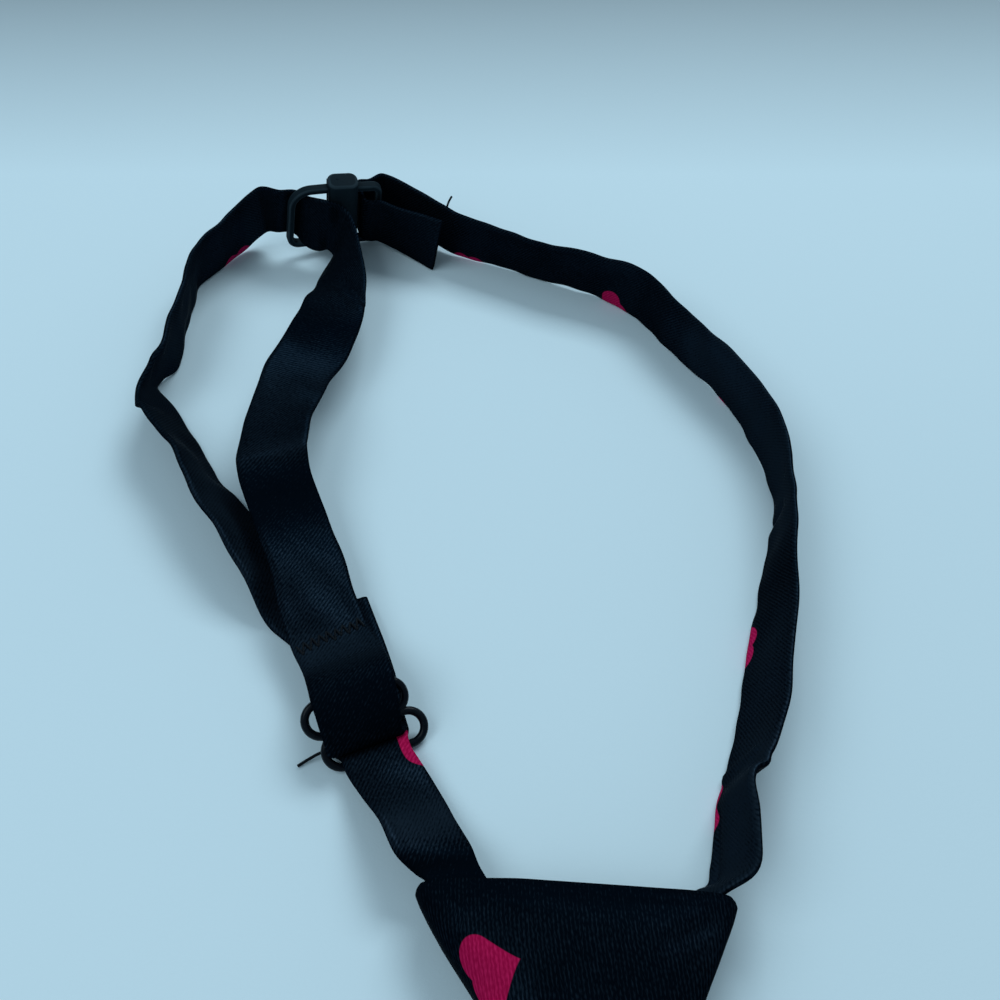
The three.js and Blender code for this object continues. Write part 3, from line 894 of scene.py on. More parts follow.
@dataclass
class Strap:
    """A pressed satin tube along its rows.

    Hearts, folds and places of painted light and shade lie on its cloth, from the knot's end. Ripple
    and sway each give a height, a longest wave and a shortest one.
    """

    name: str
    node: str
    rows: list[Row]
    shown_side: int
    hearts: list[Heart]
    folds: list[Fold]
    gloss_and_painted_light: list[Fold]
    tight: list[TightSpot]
    seed: int
    thick: float = 1.24
    edge: float = 0.95
    puff: float = 0.03
    step: float = 0.7
    half_sides: int = 24
    hem_at: float = 1.0
    hem_wide: float = 0.75
    ripple: Triple = (0.34, 34.0, 7.0)
    sway: Triple = (0.26, 46.0, 12.0)
    draw_in: float = 0.02
    held_share: float = 0.55

    def __post_init__(self) -> None:
        """Works out the strap's stations."""
        table = smooth_rows(np.array(self.rows), self.step)
        self.middle = table[:, :3]
        self.across = unit(table[:, 3:6])
        self.through = self.shown_side * unit(np.cross(np.gradient(self.middle, axis=0), self.across))
        self.width = table[:, 6]
        self.along = lengths_of(self.middle)

    @property
    def length(self) -> float:
        """The strap's length in millimetres."""
        return float(self.along[-1])

    def slack(self) -> np.ndarray:
        """How free the cloth is to wrinkle at each station, from 0 to 1."""
        free = np.ones(len(self.middle))
        for spot in self.tight:
            away = np.linalg.norm(self.middle - np.array(spot.at), axis=1)
            free *= smooth_step(spot.reach * self.held_share, spot.reach, away)
        return free

    def heave(self, across: np.ndarray, along: np.ndarray, slack: np.ndarray) -> np.ndarray:
        """How far the cloth stands out of its smooth shape at places of it."""
        ripple = Ripple(self.seed, *self.ripple).at(across, along)
        return slack * ripple + sum(fold.at(across, along) for fold in self.folds)

    def half_thickness(self, out: np.ndarray, half: np.ndarray) -> np.ndarray:
        """Half the thickness of the tube, fuller along its two folded edges.

        Args:
            out: how far from the middle.
            half: half the width.

        Returns:
            The half thickness.
        """
        inside = np.clip((np.abs(out) - half + self.edge) / self.edge, 0.0, 1.0)
        from_hem = (half - np.abs(out) - self.hem_at) / self.hem_wide
        full = self.thick / 2 + self.puff * np.exp(-(from_hem**2))
        return full * np.sqrt(1 - inside**2)

    def loft(self) -> Loft:
        """The strap's skin."""
        count = 2 * self.half_sides
        angles = np.arange(count + 1) * math.tau / count
        slack = self.slack()[:, None]
        along = np.repeat(self.along[:, None], count + 1, axis=1)
        sway = Ripple(self.seed + 1, *self.sway, slant=0.0).at(np.zeros_like(slack), self.along[:, None])
        half = self.width[:, None] / 2 * (1 - self.draw_in * slack)
        out = half * np.cos(angles)[None]
        face = np.where(np.arange(count + 1) <= self.half_sides, 1.0, -1.0)[None]
        cloth_across = np.where(face > 0, out, -2 * half - out)
        stand = face * self.half_thickness(out, half) + self.heave(out, along, slack)
        side = out + sway * slack
        points = (
            self.middle[:, None]
            + side[:, :-1, None] * self.across[:, None]
            + stand[:, :-1, None] * self.through[:, None]
        )
        sunk = np.minimum(points[:, :, 2].min(axis=1), 0.0)
        points[:, :, 2] -= sunk[:, None]
        heart = heart_field(self.hearts, cloth_across, along)
        # Painted light and shade on the side that shows
        gloss_and_painted_light = np.where(face > 0, sum(place.at(out, along) for place in self.gloss_and_painted_light), 0.0)
        return Loft(points, twill(cloth_across, along), heart, gloss_and_painted_light=gloss_and_painted_light)

    def surface(self, across: float, along: float, lift: float) -> np.ndarray:
        """A point on the side that shows.

        Args:
            across: how far from the strap's middle, in millimetres.
            along: how far from the knot's end.
            lift: how far above the cloth.

        Returns:
            The point.
        """
        def near(values: np.ndarray) -> np.ndarray:
            """A station's values there."""
            return np.array([np.interp(along, self.along, column) for column in values.T])

        up = self.thick / 2 + self.puff + lift
        return near(self.middle) + across * near(self.across) + up * near(self.through)

    def build(self, satin: Material) -> Piece:
        """Makes the strap and dresses it."""
        return fit_out(make_piece(self.name, [self.loft()]), satin, self.node)


# Slider and clasp


@dataclass
class Slider:
    """Figure-eight wire slider: two rounded loops side by side, leaning on the table."""

    wire: float = 1.5
    span: float = 17.9
    skew: float = 0.9
    pitch: float = 6.0
    waist: float = 0.2
    at: Place = (-34.6, 31.1, 4.7)
    turn: float = 22.0
    table_gap: float = 0.05
    wire_sides: int = 18
    corner_steps: int = 14
    straight_step: float = 0.7

    @property
    def place(self) -> Matrix:
        """Where the middle bar is, level."""
        return Matrix.Translation(self.at) @ Matrix.Rotation(math.radians(self.turn), 4, "Z")

    @property
    def tilt(self) -> Matrix:
        """How the two loops lean, so that the near one touches the table."""
        drop = self.at[2] - self.wire / 2 - self.table_gap
        return Matrix.Rotation(math.asin(drop / self.pitch), 4, "X")

    def build(self, paint: Material) -> Piece:
        """Makes the slider and dresses it."""
        angles = np.arange(self.wire_sides) * math.tau / self.wire_sides
        section = np.stack((np.cos(angles), np.sin(angles)), axis=1) * self.wire / 2
        half = self.span / 2
        corners = Corners.even((self.pitch - self.waist) / 2)
        loops = []
        for side, low, high in ((-self.skew, self.waist, self.pitch), (self.skew, -self.pitch, -self.waist)):
            path = rounded_path(
                side - half, side + half, low, high, corners, self.corner_steps, self.straight_step,
            )
            loops.append(placed(sweep(path, section), self.place @ self.tilt))
        return fit_out(make_piece("slider_wire", loops), paint, "slider")


@dataclass
class Clasp:
    """Fastened clasp: a ring that the adjusting strap runs through, held in a hook's jaw."""

    at: Place = (-55.8, 184.5, 1.5)
    turn: float = 12.8
    nod: float = 14.0
    roll: float = 5.5
    height: float = 20.4
    bar_width: float = 1.7
    bar_depth: float = 2.4
    bar_round: float = 0.55
    ring_length: float = 13.2
    ring_high: float = 5.0
    ring_low: float = 2.6
    ring_lean: float = 4.0
    ring_swing: float = 8.0
    ring_shift: float = -1.1
    hook_bar: float = 10.0
    hook_root: float = 3.0
    hook_corner: float = 1.6
    jaw_left: float = -3.5
    jaw_right: float = 4.5
    jaw_half: float = 2.9
    jaw_top: float = 22.2
    jaw_corner: float = 2.2
    jaw_bevel: float = 0.9
    slot_right: float = 1.9
    slot_half: float = 1.95
    slot_top: float = 21.0
    foot: float = 1.2
    dot_at: tuple[float, float] = (-0.9, 0.4)
    dot_radius: float = 0.55
    dot_sunk: float = 0.2
    dot_rise: float = 0.32
    dot_steepest: float = math.pi / 2 - 0.1
    dot_levels: int = 5
    dot_sides: int = 14
    frame_steps: int = 9
    frame_straight: float = 1.4
    bar_steps: int = 4
    bar_straight: float = 0.5
    jaw_steps: int = 8
    jaw_straight: float = 1.0
    bevel_steps: int = 5
    crisp_deg: float = 50.0
    worn_least: float = 0.02
    worn_past: float = 1.02
    rim_from: float = 0.05
    rim_share: float = 0.85
    plain_wear: float = 0.15

    @property
    def place(self) -> Matrix:
        """Where the hook stands."""
        turn = Matrix.Rotation(math.radians(self.turn), 4, "Z")
        nod = Matrix.Rotation(math.radians(self.nod), 4, "X")
        roll = Matrix.Rotation(math.radians(self.roll), 4, "Y")
        return Matrix.Translation(self.at) @ turn @ nod @ roll

    @property
    def ring_place(self) -> Matrix:
        """Where the ring hangs in the jaw."""
        swing = Matrix.Rotation(math.radians(self.ring_swing), 4, "Z")
        lean = Matrix.Rotation(math.radians(self.ring_lean), 4, "Y")
        return self.place @ Matrix.Translation((self.ring_shift, 0, 0)) @ swing @ lean

    def frame(self, left: float, right: float, corners: Corners) -> Loft:
        """A moulded frame standing between two upright bars.

        Args:
            left, right: the middles of its bars.
            corners: its radii.

        Returns:
            Its skin, standing in the XZ plane.
        """
        wide, deep = self.bar_width / 2, self.bar_depth / 2
        path = rounded_path(
            left, right, wide, self.height - wide, corners, self.frame_steps, self.frame_straight,
        )
        section = rounded_path(
            -wide, wide, -deep, deep, Corners.even(self.bar_round), self.bar_steps, self.bar_straight,
        )
        inside = np.array((wide, deep)) - np.abs(section)
        rounded = inside.max(axis=1) < self.bar_round * self.worn_past
        edge = np.where(rounded & (inside.min(axis=1) > self.worn_least), 1.0, 0.0)
        return placed(sweep(path, section, edge), Matrix.Rotation(math.pi / 2, 4, "X"))

    def block(self, inset: float) -> np.ndarray:
        """Plan of the jaw's closed cap, drawn in by an inset."""
        return rounded_path(
            self.jaw_left + inset, self.jaw_right - inset, -self.jaw_half + inset, self.jaw_half - inset,
            Corners.even(self.jaw_corner - inset), self.jaw_steps, self.jaw_straight,
        )

    def jaw_outline(self, inset: float) -> np.ndarray:
        """Plan of the jaw's wall: a rounded block with the slot for the ring open at its left.

        Args:
            inset: how far the wall is drawn in.

        Returns:
            The plan's points.
        """
        left, half, slot = self.jaw_left + inset, self.jaw_half - inset, self.slot_half + inset
        block = self.block(inset)
        corner = np.array((left, self.jaw_corner - inset - half))
        start = int(np.argmin(np.abs(block - corner).sum(axis=1)))
        around = np.roll(block, -start, axis=0)
        around = around[(around[:, 0] > left + SAME_POINT) | (np.abs(around[:, 1]) > slot)]
        end = self.slot_right + inset
        return np.vstack((around, ((left, slot), (end, slot), (end, -slot), (left, -slot))))

    def levels(self, outline: Callable[[float], np.ndarray], steps: Sequence[tuple[float, float]]) -> Loft:
        """A block of one plan at several levels.

        Args:
            outline: the plan at an inset.
            steps: the height and the inset of each level.

        Returns:
            Its skin, worn along its rounded rim.
        """
        rings = []
        for height, inset in steps:
            plan = outline(inset)
            rings.append(np.column_stack((plan, np.full(len(plan), height))))
        insets = np.array([inset for _, inset in steps])
        on_rim = (self.rim_from < insets) & (insets < self.rim_share * self.jaw_bevel)
        wear = np.where(on_rim, 1.0, self.plain_wear)
        return Loft(np.array(rings), edge=np.repeat(wear[:, None], len(rings[0]) + 1, axis=1))

    def bevelled(self, height: float, rising: bool) -> list[tuple[float, float]]:
        """Levels of a rounded rim.

        Args:
            height: where the rim ends.
            rising: whether the block is below the rim.

        Returns:
            Each level's height and inset.
        """
        angles = [math.radians(90 * i / self.bevel_steps) for i in range(self.bevel_steps + 1)]
        steps = [
            (self.jaw_bevel * (1 - math.sin(angle)), self.jaw_bevel * (1 - math.cos(angle)))
            for angle in angles
        ]
        if rising:
            return [(height - rise, inset) for rise, inset in steps]
        return [(height + rise, inset) for rise, inset in reversed(steps)]

    def dot(self) -> Loft:
        """The small round moulding mark on the cap."""
        turns = np.arange(self.dot_sides) * math.tau / self.dot_sides
        x, y = self.dot_at
        rings = []
        for slope in np.linspace(0, self.dot_steepest, self.dot_levels):
            reach = self.dot_radius * math.cos(slope)
            height = self.jaw_top - self.dot_sunk + self.dot_rise * math.sin(slope)
            plan = (x + reach * np.cos(turns), y + reach * np.sin(turns))
            rings.append(np.column_stack((*plan, np.full(len(turns), height))))
        return Loft(np.array(rings))

    def jaw(self) -> list[Loft]:
        """The jaw: its slotted wall, its closed cap and the mark on the cap."""
        under_rim = self.bevelled(0.0, False)[:-2]
        wall = self.levels(self.jaw_outline, [*under_rim, (self.foot, 0.0), (self.slot_top, 0.0)])
        cap = self.levels(self.block, [(self.slot_top, 0.0), *self.bevelled(self.jaw_top, True)])
        return [wall, cap, self.dot()]

    def build(self, moulding: Material) -> list[Piece]:
        """Makes the ring and the hook and dresses them."""
        bend = self.bar_width / 2
        ring_corners = Corners(bend, bend, self.ring_high, self.ring_low)
        ring = placed(self.frame(-self.ring_length, 0.0, ring_corners), self.ring_place)
        tab_slot = self.frame(self.hook_root, self.hook_bar, Corners.even(self.hook_corner))
        hook = [placed(loft, self.place) for loft in (tab_slot, *self.jaw())]
        pieces = (("clasp_ring_frame", [ring], "clasp_ring"), ("clasp_hook_body", hook, "clasp_hook"))
        return [
            fit_out(make_piece(name, lofts, self.crisp_deg), moulding, node)
            for name, lofts, node in pieces
        ]


# Knot and blade


@dataclass
class Knot:
    """The knot: a tapered band of satin, open at the top for the straps and below for the blade.

    A section is its place along the tie, its middle, half its width, half its height and how square
    its left and right sides are. The flat size is in metres.
    """

    sections: tuple[tuple[float, ...], ...] = (
        (0, 0.1, 23.7, 6.6, 2.5, 7),
        (-1.4, 0.2, 24.1, 6.9, 2.5, 7),
        (-8, 1, 20.6, 7.2, 3, 6.5),
        (-15, 2.35, 16.2, 6.6, 3.6, 5.5),
        (-22, 3.8, 12.3, 6, 4.4, 5),
        (-29, 5.4, 10, 5.4, 5, 5),
    )
    turn: float = -4.0
    wall: float = 1.5
    sides: int = 200
    step: float = 0.6
    flat: tuple[float, float] = (0.115, 0.0295)
    seed: int = 71
    ripple: Triple = (0.16, 26.0, 6.0)
    front_over: float = 0.7
    fade_over: float = 4.0
    lip_at: float = 1.0
    lip_height: float = 0.08
    lip_wide: float = 1.0
    hem_at: float = 2.8
    hem_depth: float = 0.1
    hem_wide: float = 0.55
    hearts: tuple[Heart, ...] = (
        Heart(-13.0, -12.7, 8.0, 16.6),
        Heart(8.5, -25.0, 8.0, 230.0),
    )
    # Painted shade: the knot's colour darkened, and its lustre dulled, along its top edge and over its right
    # half
    gloss_and_painted_light: tuple[Fold, ...] = (
        Fold((-24.0, -1.0), (24.0, -1.0), -0.7, 4.5),
        Fold((2.0, -10.0), (14.0, -22.0), -0.5, 11.0),
    )
    folds: tuple[Fold, ...] = (
        Fold((-23, -3), (-8, -4.6), 0.4, 1.6),
        Fold((-22, -7), (-6, -24), -0.5, 2.4),
        Fold((-4, -15), (2, -27), -0.55, 1.8),
        Fold((17, -3), (8, -20), 0.35, 2.6),
        Fold((20, -4.5), (13, -8), -0.4, 1.6),
        Fold((-3, -5), (4, -24), 0.3, 3.2),
    )

    def ring(self, row: np.ndarray, wall: float) -> np.ndarray:
        """One ring of the knot.

        Args:
            row: the section.
            wall: how far it is drawn in.

        Returns:
            Its points, from the middle of the back and round by the right.
        """
        y, mid, half, rise, left, right = row
        angles = (np.arange(self.sides) / self.sides - 0.25) * math.tau
        cosine, sine = np.cos(angles), np.sin(angles)
        power = 2 / np.where(cosine < 0, left, right)
        x = mid + (half - wall) * np.sign(cosine) * np.abs(cosine) ** power
        z = rise + (rise - wall) * np.sign(sine) * np.abs(sine) ** power
        return np.column_stack((x, np.full(self.sides, y), z))

    def loft(self) -> Loft:
        """The knot's skin: its outside, then its inside."""
        rows = smooth_rows(np.array(self.sections), self.step, slice(0, 1))
        walls = np.concatenate((np.zeros(len(rows)), np.full(len(rows), self.wall)))
        order = np.concatenate((rows, rows[::-1]))
        rings = np.array([self.ring(row, wall) for row, wall in zip(order, walls)])
        steps = np.linalg.norm(np.diff(closed(rings, axis=1), axis=1), axis=2)
        around = np.concatenate((np.zeros((len(rings), 1)), np.cumsum(steps, axis=1)), axis=1)
        arc = around[:, self.sides // 2, None] - around
        depth = np.repeat(order[:, :1], self.sides + 1, axis=1)
        places = arc[:, :-1], depth[:, :-1]
        rise = order[:, 3:4]
        bottom = order[:, 0].min()
        front = smooth_step(0.0, self.front_over, (rings[:, :, 2] - rise) / rise)
        fade = smooth_step(bottom, bottom + self.fade_over, places[1])
        heave = sum(fold.at(*places) for fold in self.folds) + Ripple(self.seed, *self.ripple).at(*places)
        lip = self.lip_height * np.exp(-(((places[1] + self.lip_at) / self.lip_wide) ** 2))
        hem = self.hem_depth * np.exp(-(((places[1] + self.hem_at) / self.hem_wide) ** 2))
        outside = (walls == 0)[:, None]
        rings[:, :, 2] += front * fade * np.where(outside, heave + lip - hem, np.minimum(heave, 0))
        rings[:, :, 2] = np.maximum(rings[:, :, 2], 0.0)
        heart = heart_field(self.hearts, arc, depth)
        heart[len(rows):] = FAR
        # Painted shade on the outside of the knot
        gloss_and_painted_light = sum(place.at(arc, depth) for place in self.gloss_and_painted_light)
        gloss_and_painted_light[len(rows):] = 0.0
        cloth = np.stack((arc, depth), axis=-1)
        loft = Loft(rings, closed(cloth), closed(heart), gloss_and_painted_light=closed(gloss_and_painted_light), joined=True)
        return placed(loft, Matrix.Rotation(math.radians(self.turn), 4, "Z"))

    def build(self, satin: Material) -> Piece:
        """Makes the knot and dresses it."""
        knot = fit_out(make_piece("knot_cloth", [self.loft()]), satin, "knot")
        return knot


@dataclass
class Blade:
    """The blade: one cloth with its edges folded to the back, where its two flaps meet.

    A section is its place along the tie, half its width, the height of its back and its thickness.
    Near the tip its fold, slit and wall are no more than their parts of half the width. The flat size
    is in metres.
    """

    sections: tuple[tuple[float, ...], ...] = (
        (-15, 7.2, 2.2, 6.4),
        (-29, 7.3, 2.1, 6.6),
        (-34, 8.8, 1.3, 6),
        (-46, 11.6, 0, 4.6),
        (-70, 16, 0, 4),
        (-112, 23.6, 0, 4),
        (-154, 31, 0, 4),
        (-158, 30, 0, 4),
        (-185, 3, 0, 3.6),
        (BLADE_TIP, 1.6, 0.2, 3.2),
    )
    wall: float = 1.3
    fold: float = 1.6
    slit: float = 0.6
    fold_part: int = 2
    slit_part: int = 5
    wall_part: int = 3
    tightest_bend: float = 0.1
    step: float = 0.9
    bend_points: int = 13
    back_points: int = 18
    front_points: int = 28
    flat: tuple[float, float] = (0.126, 0.173)
    heart_size: float = 8.0
    heart_pitch: float = 24.0
    heart_top: float = -40.0
    heart_rows: int = 9
    heart_columns: int = 3
    heart_row_share: float = 0.74
    heart_stray: float = 2.5
    seed: int = 83
    ripple: Triple = (0.28, 60.0, 14.0)
    fullness: float = 0.45
    front_from: float = 0.5
    front_full: float = 0.9
    loose_from: float = -33.0
    loose_at: float = -46.0
    loose_to: float = -168.0

    def hearts(self) -> list[Heart]:
        """Hearts scattered evenly over the cloth, each turned its own way."""
        chance = np.random.default_rng(self.seed)
        stray = self.heart_stray
        hearts = []
        for i in range(self.heart_rows):
            for k in range(-self.heart_columns, self.heart_columns + 1):
                across = (k + i % 2 / 2) * self.heart_pitch + chance.uniform(-stray, stray)
                down = i * self.heart_pitch * self.heart_row_share
                along = self.heart_top - down + chance.uniform(-stray, stray)
                hearts.append(Heart(across, along, self.heart_size, chance.uniform(0, 360)))
        return hearts

    def outline(self, half: float, foot: float, thick: float) -> tuple[np.ndarray, np.ndarray]:
        """Outline of the folded cloth at one section.

        Args:
            half: half the blade's width.
            foot: the height of its back.
            thick: its thickness.

        Returns:
            The outline's points, and how far each is round the cloth from the middle of the front.
        """
        fold = min(self.fold, half / self.fold_part)
        slit = min(self.slit, half / self.slit_part)
        wall = min(self.wall, half / self.wall_part, thick / self.wall_part)
        middle = foot + thick / 2
        bend = np.radians(np.linspace(-90, 90, self.bend_points))
        back_x = np.linspace(slit, half - fold, self.back_points + 1)[:-1]
        front_x = np.linspace(half - fold, 0, self.front_points + 1)[1:]

        def half_way(inset: float) -> np.ndarray:
            """The right half, from the slit round the folded edge to the middle of the front."""
            back = np.column_stack((back_x, np.full(self.back_points, foot + inset)))
            turn = np.column_stack((
                half - fold + max(fold - inset, self.tightest_bend) * np.cos(bend),
                middle + (thick / 2 - inset) * np.sin(bend),
            ))
            front = np.column_stack((front_x, np.full(self.front_points, foot + thick - inset)))
            return np.vstack((back, turn, front))

        outer, inner = half_way(0.0), half_way(wall)
        mirror = np.array((-1.0, 1.0))
        around = lengths_of(outer)
        around = around[-1] - around
        points = np.vstack((outer, (outer * mirror)[-2::-1], inner * mirror, inner[-2::-1]))
        reach = np.concatenate((around, -around[-2::-1], -around, around[-2::-1]))
        return points, reach

    def loft(self) -> Loft:
        """The blade's skin."""
        table = np.array(self.sections)
        count = round((table[0, 0] - table[-1, 0]) / self.step)
        depths = np.unique(np.concatenate((np.linspace(table[-1, 0], table[0, 0], count), table[:, 0])))[::-1]
        rows = np.column_stack([np.interp(depths, table[::-1, 0], table[::-1, i]) for i in (1, 2, 3)])
        made = [self.outline(*row) for row in rows]
        flat = np.array([points for points, _ in made])
        arc = closed(np.array([reach for _, reach in made]), axis=1)
        depth = np.repeat(depths[:, None], arc.shape[1], axis=1)
        places = arc[:, :-1], depth[:, :-1]
        half, foot, thick = rows[:, :1], rows[:, 1:2], rows[:, 2:]
        inward = np.clip(1 - (flat[:, :, 0] / half) ** 2, 0.0, 1.0)
        front = smooth_step(self.front_from, self.front_full, (flat[:, :, 1] - foot) / thick)
        below_knot = smooth_step(self.loose_from, self.loose_at, places[1])
        above_tip = smooth_step(BLADE_TIP, self.loose_to, places[1])
        ripple = Ripple(self.seed, *self.ripple).at(*places)
        rise = front * (below_knot * above_tip) * np.sqrt(inward) * (self.fullness + ripple)
        height = np.maximum(flat[:, :, 1] + rise, 0.0)
        rings = np.stack((BLADE_MID + flat[:, :, 0], places[1], height), axis=-1)
        return Loft(rings, twill(arc, depth), heart_field(self.hearts(), arc, depth))

    def build(self, satin: Material) -> Piece:
        """Makes the blade and dresses it."""
        blade = fit_out(make_piece("blade_cloth", [self.loft()]), satin, "blade")
        return blade


# Straps of this tie


@dataclass
class Straps:
    """The two straps and their sewing, on the slider and clasp that hold them.

    A row of a table is x, y, turn and lean, then the middle's height and the width where they aren't
    those of a plain strap that stands on the table. A row on the slider is a point of it and the
    strap's width, a row on the ring is a point of it and a lean, and a row on the hook is a point.
    """

    slider: Slider
    clasp: Clasp
    fold_bulge: float = 3.6
    fold_side: float = -1.0
    fold_sway: float = 1.3
    fold_width: float = 13.6
    fold_from: float = 175.0
    fold_to: float = 270.0
    fold_steps: int = 5
    bar_round: float = 2.1
    stitch_radius: float = 0.19
    stitch_reach: float = 6.6
    stitch_swing: float = 1.3
    stitch_count: int = 17
    stitch_points: int = 7
    stitch_arch: float = 2.2
    stitch_sunk: float = 0.9
    stitch_stray_along: float = 0.25
    stitch_stray_across: float = 0.15
    slider_tab_seam: float = 386.4
    slider_tab_slant: float = -0.21
    slider_tab_seed: int = 5
    hook_tab_seam: float = 271.0
    hook_tab_seed: int = 7
    thread_radius: float = 0.28
    thread_step: float = 0.25
    slider_reach: float = 26.0
    knot_left: TightSpot = TightSpot((-19.0, 4.0, 7.0), 13.0)
    knot_right: TightSpot = TightSpot((20.0, -1.0, 7.0), 11.0)
    ring_spot: TightSpot = TightSpot((-62.0, 184.0, 11.0), 24.0)
    hook_spot: TightSpot = TightSpot((-42.0, 186.0, 11.0), 22.0)
    loose_at_slider: tuple[Place, ...] = (
        (-40.0, 27.3, 2.4), (-42.4, 27.1, 1.5), (-44.4, 26.3, 0.8), (-46.3, 25.2, 0.35),
    )
    loose_at_hook: tuple[Place, ...] = (
        (-25.3, 179.2, 14.6), (-25.0, 179.5, 15.6), (-24.5, 180.1, 16.6), (-23.8, 180.5, 17.7),
    )

    def adjuster(self) -> Strap:
        """The strap from the knot through the slider, round the ring and back to the slider's bar."""
        knot_to_slider = (
            (-9.5, -9, 184, 0, 8.2, 9),
            (-14, -3, 190, 2, 7.5, 8.4),
            (-18.3, 4, 200, 4, 6.9, 8.6),
            (-21.9, 8.4, 207, 24, 6.6, 12.8),
            (-25.2, 14.5, 209, 30, 5.6, 13.5),
            (-29, 20.5, 206, 14, 4, 12.5),
        )
        through_slider = (
            (0.3, -7.3, -1.45, 12),
            (0.2, -5.6, -1.6, 12),
            (0.2, -4.5, -1.75, 12.2),
            (0.2, -3, -2.9, 13),
            (0.2, -1.8, -3.8, 14),
            (0, 6, -3.95, 15),
            (0, 21, -3.95, 15),
        )
        slider_to_bend = (
            (-50, 58.4, 209, 2),
            (-55.2, 65, 215, 26),
            (-62.4, 73, 216, 46),
            (-70.2, 83.2, 222, 51),
            (-73.7, 88.1, 220, 59),
            (-77.5, 94, 212, 63),
            (-83.1, 102.1, 215, 58),
            (-86.6, 107.2, 217, 58),
            (-89.6, 111.8, 248, 47, 5.7),
            (-93, 118.2, 275, 46, 5.6),
            (-90.9, 125.3, 145, 108),
            (-89.7, 129.8, 164, 98),
        )
        bend_to_clasp = (
            (-89.6, 135.2, 181, 96),
            (-90, 146.7, 181, 99),
            (-90.3, 158.9, 183, 100),
            (-90, 164.7, 170, 104),
            (-88.2, 168.7, 151, 103),
            (-85.9, 172.7, 148, 101),
            (-83.8, 177.2, 150, 97),
            (-81.3, 181, 146, 94, 8.2),
            (-78.4, 183, 134, 95, 9.9),
            (-75.2, 183.5, 122, 97, 11.8),
        )
        through_ring = (
            (-15.6, 2.7, 10.4, 0),
            (-12.5, 2.45, 10.4, 0),
            (-10.8, 1.2, 10.3, 4),
            (-10.1, -0.9, 10.3, 12),
            (-8.7, -2.7, 10.5, 20),
            (-6.7, -4, 10.8, 20),
            (-4.4, -5.2, 11.4, 12),
        )
        clasp_to_slider = (
            (-53.8, 174.7, 44, 70, 9.9),
            (-53, 170.4, 6, 56, 8.9),
            (-52.5, 164, -3, 40, 8.4),
            (-52.1, 157, -3, 25, 8.6),
            (-51.9, 150, -3, 9, 9.1, 15.6),
            (-52.3, 140, -9, -4, 9.8, 16.3),
            (-54.2, 127, -12, -14, 10.8, 16.3),
            (-57, 116, -9, -10, 11.6, 15.5),
            (-58.3, 104.5, -4, 0, 12.4),
            (-59, 94, 4, 6, 12.6),
            (-57.3, 85, 16, -8, 11.6),
            (-54.5, 78, 22, -12, 10.2),
            (-51.6, 71, 23, -14, 9.1),
            (-48.6, 64, 22, -15, 8.2),
            (-45.6, 56.5, 21, -10, 7.2),
            (-42.8, 49, 20.5, -3, 6),
        )
        over_slider = (
            (-0.2, 13, 2.3, 15),
            (-0.2, 9, 4.5, 15),
            (-0.3, 6.4, 5.7, 15),
            (-0.45, 4, 5.85, 15),
            (-0.6, 1.6, 5.1, 14.6),
            (-0.8, -0.8, 3.6, 14.2),
            (-0.95, -2.6, 1.8, 13.8),
        )
        slider_tab = ((0.8, 9, -2.1, 15), (1.3, 27.8, -2.1, 15))
        bars, ring = self.slider.place, self.clasp.ring_place
        left, right = (-1, 0, 0), (1, 0, 0)
        round_bar = rows_round(self.fold_from, self.fold_to, self.fold_steps, lambda cosine, sine: row_on(
            bars, (self.fold_side - self.fold_sway * sine, self.fold_bulge * cosine, self.bar_round * sine),
            right, self.fold_width,
        ))
        in_ring = []
        for *point, lean in through_ring:
            tilt = math.radians(lean)
            in_ring.append(row_on(ring, point, (0, math.sin(tilt), math.cos(tilt))))
        rows = [
            *rows_of(knot_to_slider),
            *rows_on(bars, left, through_slider),
            *rows_of(slider_to_bend, bend_to_clasp),
            *in_ring,
            *rows_of(clasp_to_slider),
            *rows_on(bars, right, over_slider),
            *round_bar,
            *rows_on(bars, right, slider_tab),
        ]
        slider_spot = TightSpot(self.slider.at, self.slider_reach)
        return Strap(
            "adjuster_strap_cloth", "adjuster_strap", rows, 1,
            hearts=[Heart(-7.3, 42.7, 9.0, 45.0), Heart(-10.9, 217.0, 9.5, 180.0)],
            folds=[
                Fold((4.0, 17.5), (-3.0, 15.5), -0.8, 1.8),
                Fold((2.0, 159.0), (7.5, 160.8), -0.5, 1.2),
                Fold((1.0, 275.4), (7.5, 284.2), -0.7, 0.9),
                Fold((-0.5, 277.5), (6.0, 286.5), 0.45, 1.3),
                Fold((-7.5, 342.6), (7.5, 340.4), 0.5, 1.7),
            ],
            # Painted light and shade: lit stretches of the strap painted lighter, shaded ones painted darker
            # and less metallic
            gloss_and_painted_light=[
                Fold((-4.0, 15.5), (5.0, 18.0), -1.2, 4.0),
                Fold((-6.0, 26.0), (3.0, 26.0), 1.2, 5.0),
                Fold((0.0, 80.0), (0.0, 120.0), 0.8, 9.0),
                Fold((0.0, 160.0), (0.0, 215.0), 1.0, 9.0),
                Fold((-7.0, 297.0), (7.0, 297.0), -0.6, 9.0),
                Fold((-7.0, 320.0), (7.0, 320.0), 0.3, 8.0),
                Fold((-7.5, 342.0), (7.5, 340.0), 0.6, 3.0),
                Fold((-8.0, 354.5), (8.0, 352.0), -1.1, 9.0),
                Fold((-7.0, 391.0), (7.0, 391.0), 0.8, 6.0),
                Fold((-7.0, 405.0), (7.0, 405.0), -0.8, 8.0),
            ],
            tight=[self.knot_left, slider_spot, self.ring_spot], seed=11,
        )

